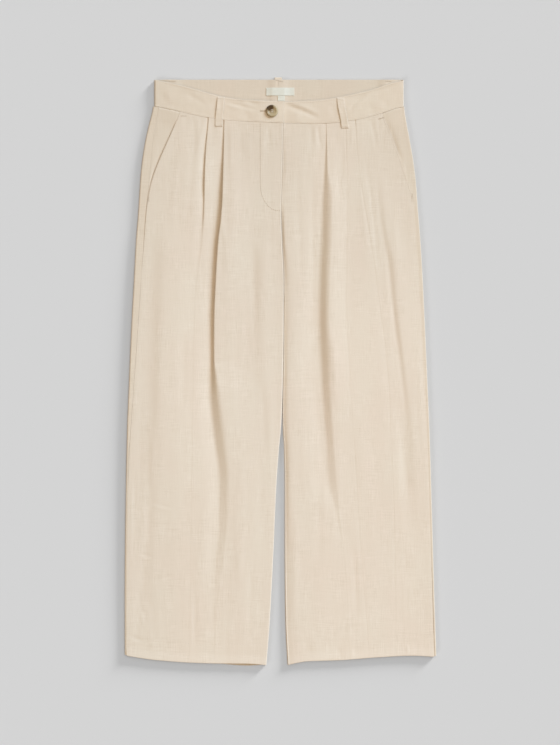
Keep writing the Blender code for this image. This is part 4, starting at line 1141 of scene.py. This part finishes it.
# the centre loop stands above the band's top edge, the others just below it
for which, middle, above in zip(("Right", "Centre", "Left"), backLoops["at"], (-0.5, 3.6, -0.5)):
    backLoop("backLoop" + which, "belt_loop_back_" + which.lower(), middle, backEdge["top"] + above)


labels = {
    "wall": 0.5, "clear": 0.06, "waves": (0.12, 9, 8), "flat": (0.044, 0.0124),
    "label": {"x": (-21.8, 22.2), "y": (430.6, 443.0), "seed": 140},
    "tab": {"x": (-3.5, 7.3), "y": (422.4, 430.3), "seed": 141}}


def patch(name, node, place):
    # a bare woven tape sewn to the inside of the back waistband
    (left, right), (low, high) = place["x"], place["y"]
    wall = labels["wall"]
    columns = np.linspace(left, right, 40)
    ends = np.array([0.0, 0.12, 0.3])
    xs = np.concatenate([left + ends, columns[2:-2], right - ends[::-1]])
    ys = np.concatenate([high - ends, np.linspace(high - 0.8, low + 0.8, 9), low + ends[::-1]])
    grid = np.zeros((len(xs), len(ys), 3))
    middle = (low + high) / 2
    for i, x in enumerate(xs):
        z = max(heightAt(x + dx, y) for dx in (-1.2, 0, 1.2) for y in (low + 1, middle, high - 1))
        grid[i, :, 0] = x
        grid[i, :, 1] = ys
        grid[i, :, 2] = z + labels["clear"] + wall / 2
    height, across, along = labels["waves"]
    grid[..., 2] += height * ripple(grid[..., 0], grid[..., 1], across, along, place["seed"])
    points, faces = shell(grid, wall / 2, wall / 2, wall / 2)
    piece = addMesh(name, points, faces, labelMaterial)
    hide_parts(node)
    return piece


waistLabel = patch("waistLabel", "waist_label", labels["label"])
sizeTab = patch("sizeTab", "size_tab", labels["tab"])
print("loops and label made")


# the profile is height over radius; the rings are the radii of its top, then
# radius and height round the rim and under it
buttonShape = {
    "middle": (-12.7, 406.1), "radius": 9.5, "sides": 72, "clear": 0.3, "sharp": 40,
    "holes": 4, "holeReach": 2.1, "holeRadius": 0.9,
    "profile": [(0, 1.42), (2.5, 1.38), (4.3, 1.5), (5.6, 2.1), (6.8, 2.72), (7.8, 2.82), (8.8, 2.45),
                (9.35, 1.75), (9.5, 1.2)],
    "top": (3.6, 4.3, 5.0, 5.6, 6.2, 6.8, 7.3, 7.8, 8.3, 8.8, 9.2, 9.45),
    "rim": [(9.5, 1.0), (9.35, 0.6), (8.9, 0.25), (8.0, 0.05), (6.0, 0.0)]}
horn = {
    "cloud": (5, 5, 5), "grain": (1.2, 3.4, 2), "bump": 0.15, "relief": 0.2,
    "stops": [(0.0, (0.070, 0.038, 0.014)), (0.22, (0.138, 0.087, 0.037)), (0.45, (0.31, 0.23, 0.13)),
              (0.7, (0.46, 0.37, 0.22)), (1.0, (0.60, 0.51, 0.36))]}


def hornFinish(middle, radius):
    # olive horn with one dark brown patch towards its upper left
    finish = Finish("mottled horn", (0.37, 0.28, 0.16), 0.42, {"Specular IOR Level": 0.35})
    place = finish.node("ShaderNodeTexCoord", output="Object")
    across, along = finish.acrossAndAlong(place)
    across = (across - middle[0] * millimetre) / (radius * millimetre)
    along = (along - middle[1] * millimetre) / (radius * millimetre)
    cloud = finish.noise(place, horn["cloud"], 3, 0.6)
    grain = finish.noise(place, horn["grain"], 2, 0.6)
    aside, above = across + 0.32, along - 0.62
    patch = (1.25 - (aside * aside + above * above) * 2.6).held()
    share = across * 0.2 - along * 0.06 + 0.58 - patch * 0.62 + (cloud - 0.5) * 0.35 + (grain - 0.5) * 0.35
    finish.feed("Base Color", finish.node("ShaderNodeValToRGB", {"stops": horn["stops"]}, {0: share}))
    finish.bump(grain, horn["bump"], horn["relief"] * millimetre)
    return finish.material


def button():
    middle = buttonShape["middle"]
    placed = (middle[0] + shift[0], middle[1] + shift[1])
    profile = Table(("r", "z"), buttonShape["profile"])
    base = band["over"] + band["wall"] / 2 + buttonShape["clear"]
    sides = buttonShape["sides"]
    rings = [(r, float(profile.read("z", r))) for r in buttonShape["top"]] + buttonShape["rim"]
    points = []
    for r, z in rings:
        for a in np.linspace(0, 2 * math.pi, sides, endpoint=False):
            points.append((middle[0] + r * math.cos(a), middle[1] + r * math.sin(a), base + z))
    faces = []
    for i in range(len(rings) - 1):
        for k in range(sides):
            n = (k + 1) % sides
            faces.append((i * sides + k, (i + 1) * sides + k, (i + 1) * sides + n, i * sides + n))
    faces.append(tuple(range(sides)))
    faces.append(tuple((len(rings) - 1) * sides + k for k in range(sides - 1, -1, -1)))
    piece = addMesh("buttonDisc", points, faces, hornFinish(placed, buttonShape["radius"]))
    for k in range(buttonShape["holes"]):
        a = math.pi / 4 + math.pi / 2 * k
        bpy.ops.mesh.primitive_cylinder_add(
            vertices=20, radius=buttonShape["holeRadius"] * millimetre, depth=8 * millimetre)
        drill = bpy.context.object
        x = placed[0] + buttonShape["holeReach"] * math.cos(a)
        y = placed[1] + buttonShape["holeReach"] * math.sin(a)
        drill.location = (x * millimetre, y * millimetre, (base + 1) * millimetre)
        cut = piece.modifiers.new("hole", "BOOLEAN")
        cut.operation = "DIFFERENCE"
        cut.solver = "EXACT"
        cut.object = drill
        bpy.context.view_layer.objects.active = piece
        bpy.ops.object.modifier_apply(modifier=cut.name)
        bpy.data.objects.remove(drill, do_unlink=True)
    piece.data.shade_smooth()
    piece.data.set_sharp_from_angle(angle=math.radians(buttonShape["sharp"]))
    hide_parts("button")
    return base


buttonBase = button()


def sewn(name, runs, material, stitch=2.4, space=0.7, radius=0.24, rise=0.08):
    # rows of stitches that dip into the cloth at both ends
    points, faces = [], []
    for line in runs:
        line = np.array(line, float)
        lengths = np.concatenate([[0], np.cumsum(np.linalg.norm(np.diff(line, axis=0), axis=1))])
        count = max(1, int(lengths[-1] / (stitch + space)))
        pitch = lengths[-1] / count
        for n in range(count):
            along = np.linspace(n * pitch, n * pitch + pitch - space, 5)
            x, y = np.interp(along, lengths, line[:, 0]), np.interp(along, lengths, line[:, 1])
            z = np.array([heightAt(a, b) for a, b in zip(x, y)]) + rise
            # thread bridges a gap in the cloth
            z = np.maximum(z, z.max() - 0.6) - np.array([0.2, 0.04, 0, 0.04, 0.2])
            p, f = tube(np.stack([x, y, z], axis=1), radius)
            faces += [tuple(i + len(points) for i in face) for face in f]
            points += p.tolist()
    addMesh(name, points, faces, material)


def bandLine(offset, fromTop, start, end, step=2.0):
    # a line along the front waistband, offset from its top edge or its seam
    xs = np.arange(start, end + step, step)
    column = "top" if fromTop else "seam"
    return np.stack([xs, waistLine.read(column, xs) + (-offset if fromTop else offset)], axis=1)


def mouthLine(table, offset, start, end, step=3.0):
    # a line down beside the pocket mouth
    ys = np.arange(start, end, -step)
    return np.stack([table.read("edge", ys) + offset, ys], axis=1)


flyLine = [(-30.7, 387.0), (-30.7, 345.8), (-30.7, 291.2), (-29.6, 281), (-27.4, 273.0), (-23.5, 265.0),
           (-18.1, 257.9), (-11.8, 253.2), (-6, 251.4), (1.2, 251.0)]
# the fly is stitched in the dark thread, darker partly for its own colour and partly as painted shade of the
# stitched ditch
sewn("flyStitch", [flyLine], threadMaterial, radius=0.30)
sewn("pocketStitchRight", [mouthLine(sideRight, 1.6, 402, 262)], paleThreadMaterial)
sewn("pocketStitchLeft", [mouthLine(sideLeft, -1.6, 398, 262)], paleThreadMaterial)
seamLines = [bandLine(band["seamLine"][0], False, *ends) for ends in ((-188, -102), (-90, 92), (106, 186))]
topLines = [bandLine(band["topLine"][0], True, *ends)
            for ends in ((-180, -99), (-86, 3), (9, 87), (101, 178))]
sewn("waistStitch", seamLines, paleThreadMaterial, radius=0.2)
sewn("waistTopStitch", topLines, paleThreadMaterial, radius=0.2)
hemLines = []
for table, start, end in ((hemRight, -236, -26), (hemLeft, 14, 236)):
    xs = np.arange(start, end, 3.0)
    hemLines.append(np.stack([xs, table.read("front", xs) + cloth["hemDepth"] - 1.0], axis=1))
sewn("hemStitch", hemLines, paleThreadMaterial, stitch=2.0, space=2.2, radius=0.2)


def tack(centre, angle, length, width):
    # dense zigzag across a short line
    pitch, slant = 0.55, 0.25
    runs = []
    direction = np.array([math.cos(angle), math.sin(angle)])
    normal = np.array([-direction[1], direction[0]])
    count = int(length / pitch)
    for i in range(count):
        at = np.array(centre) + direction * (i / (count - 1) - 0.5) * length
        runs.append([at - normal * width / 2, at + normal * width / 2 + direction * slant])
    return runs


# each tack's middle, angle, length and width
tacks = {
    "pocketEnds": [
        ((-150.2, 398.6), 0.0, 8.6, 1.5), ((-204.2, 269.0), math.pi / 2, 7.8, 1.5),
        ((157.2, 394.8), 0.25, 8.8, 1.5), ((205.7, 273.6), math.pi / 2, 7.8, 1.5)],
    "frontLoopEnds": [
        ((-92.3, 425.6), -0.12, 9.6, 0.9), ((-95.6, 384.0), 0.06, 9.6, 0.9),
        ((94.2, 423.9), -0.16, 9.6, 0.9), ((101.2, 381.8), -0.05, 9.6, 0.9)],
    "backLoopEnds": [
        ((-168.6, 453.0), 0.0, 11, 1.3), ((168.4, 453.0), -0.05, 9, 1.3), ((-1.2, 453.5), -0.22, 11, 1.3)]}
clothSurface = surfaceOf(clothPieces + ["frontLoopRight", "frontLoopLeft", "waistLabel", "sizeTab"])
for name, ends, material, shape in (
        ("barTacks", "pocketEnds", threadMaterial, {"stitch": 1.6, "radius": 0.2, "rise": 0.05}),
        ("loopBars", "frontLoopEnds", paleThreadMaterial, {"stitch": 1.1, "radius": 0.18, "rise": 0.03}),
        ("loopTraces", "backLoopEnds", threadMaterial, {"stitch": 1.4, "radius": 0.2, "rise": 0.05})):
    sewn(name, sum((tack(*place) for place in tacks[ends]), []), material, space=0.05, **shape)
labelEnds = [[(-20.9, 431.6), (-20.9, 442.0)], [(21.3, 431.6), (21.3, 442.0)]]
sewn("labelStitch", labelEnds, paleThreadMaterial, stitch=1.6, space=0.6, radius=0.16)

# buttonhole: two rows of close stitches with a bar at the outer end
hole = {
    "start": -30.2, "end": -9.0, "y": 406.2, "slope": -0.01, "stitches": 44, "inner": 0.25, "outer": 1.45}
holeRuns = []
for i in range(hole["stitches"]):
    x = hole["start"] + (hole["end"] - hole["start"]) * i / (hole["stitches"] - 1)
    y = hole["y"] + hole["slope"] * (x - hole["start"])
    for side in (-1, 1):
        holeRuns.append([(x, y + side * hole["inner"]), (x + 0.1, y + side * hole["outer"])])
holeRuns += tack((hole["start"] - 0.3, hole["y"]), math.pi / 2, 3.0, 1.2)
sewn("buttonhole", holeRuns, threadMaterial, stitch=1.1, space=0.02, radius=0.19, rise=0.06)

# threads through the button's four holes: shares of the way across, and heights
threadShape = {
    "across": (-1.0, -0.97, -0.75, -0.35, 0, 0.35, 0.75, 0.97, 1.0),
    "heights": (-0.2, 1.1, 1.55, 1.7, 1.75, 1.7, 1.55, 1.1, -0.2), "radius": 0.28, "apart": 0.28}
threads, threadFaces = [], []
reach = buttonShape["holeReach"] * math.cos(math.pi / 4)
for row in (-1, 1):
    for beside in (-threadShape["apart"], threadShape["apart"]):
        y = buttonShape["middle"][1] + row * reach + beside
        xs = buttonShape["middle"][0] + np.array(threadShape["across"]) * (reach + 0.2)
        zs = buttonBase + np.array(threadShape["heights"])
        p, f = tube(np.stack([xs, y + 0 * xs, zs], axis=1), threadShape["radius"])
        threadFaces += [tuple(i + len(threads) for i in face) for face in f]
        threads += p.tolist()
addMesh("buttonThread", threads, threadFaces, paleThreadMaterial)
print("stitching made")

# the fly's underlap takes the darker inside linen: painted shade
underlap = frame["nodes"]["fly_underlap"]
underlap.data.materials.clear()
underlap.data.materials.append(shadedInsideMaterial)


studio = {
    "floor": (0.62, 0.62, 0.62), "ambient": 0.212,
    "lights": (
        {"azimuth": 45, "elevation": 74, "spread": 40, "strength": 0.59, "falls": "floor"},
        {"azimuth": 45, "elevation": 11, "spread": 15, "strength": 4.54, "falls": "floor"},
        {"azimuth": 225, "elevation": 27, "spread": 20, "strength": 0.81, "falls": "floor"},
        {"azimuth": 0, "elevation": 90, "spread": 120, "strength": 0.87, "falls": "floor"},
        {"azimuth": 0, "elevation": 90, "spread": 120, "strength": 1.53, "falls": "cloth",
         "colour": (1.000, 0.783, 0.522)},
        {"azimuth": 38, "elevation": 29, "spread": 30, "strength": 3.85, "falls": "cloth",
         "colour": (0.607, 0.786, 1.000)}),
    "viewHeight": 1162.2, "lens": 100.0, "sensor": 36.0, "aim": (-0.14, -1.32)}


def placeFloor():
    finish = Finish("plain floor", studio["floor"], 0.95, {"Specular IOR Level": 0.0})
    place = finish.node("ShaderNodeTexCoord", output="Object")
    grain = finish.noise(place, (3, 3, 3), 2, 0.5)
    dark, light = (tuple(c * share for c in studio["floor"]) + (1,) for share in (0.995, 1.005))
    finish.feed("Base Color", finish.mix(grain, dark, light))
    bpy.ops.mesh.primitive_plane_add(size=12, location=(0, 0, -0.0001))
    floor = bpy.context.object
    floor.name = "floor"
    floor.data.materials.append(finish.material)


def placeLights():
    # a low light rakes the floor alone and a higher one the cloth alone
    world = bpy.data.worlds.new("studio")
    bpy.context.scene.world = world
    world.use_nodes = True
    background = world.node_tree.nodes["Background"]
    background.inputs["Color"].default_value = (1, 1, 1, 1)
    background.inputs["Strength"].default_value = studio["ambient"]
    receivers = {}
    for falls, state in (("floor", "INCLUDE"), ("cloth", "EXCLUDE")):
        receivers[falls] = bpy.data.collections.new("light on the " + falls)
        receivers[falls].objects.link(bpy.data.objects["floor"])
        receivers[falls].collection_objects[0].light_linking.link_state = state
    for n, light in enumerate(studio["lights"]):
        lamp = bpy.data.lights.new(f"soft light {n}", "SUN")
        lamp.energy = light["strength"]
        lamp.angle = math.radians(light["spread"])
        lamp.color = light.get("colour", (1, 1, 1))
        item = bpy.data.objects.new(f"soft light {n}", lamp)
        a, e = math.radians(light["azimuth"]), math.radians(light["elevation"])
        toLight = Vector((math.cos(a) * math.cos(e), math.sin(a) * math.cos(e), math.sin(e)))
        item.rotation_euler = toLight.to_track_quat("Z", "Y").to_euler()
        item.light_linking.receiver_collection = receivers.get(light["falls"])
        bpy.context.scene.collection.objects.link(item)


def placeCamera():
    data = bpy.data.cameras.new("camera")
    data.sensor_width = studio["sensor"]
    data.lens = studio["lens"]
    camera = bpy.data.objects.new("camera", data)
    distance = studio["viewHeight"] * studio["lens"] / studio["sensor"]
    camera.location = (studio["aim"][0] * millimetre, studio["aim"][1] * millimetre, distance * millimetre)
    bpy.context.scene.collection.objects.link(camera)
    bpy.context.scene.camera = camera


placeFloor()
placeLights()
placeCamera()
bpy.context.scene.view_settings.view_transform = "Standard"
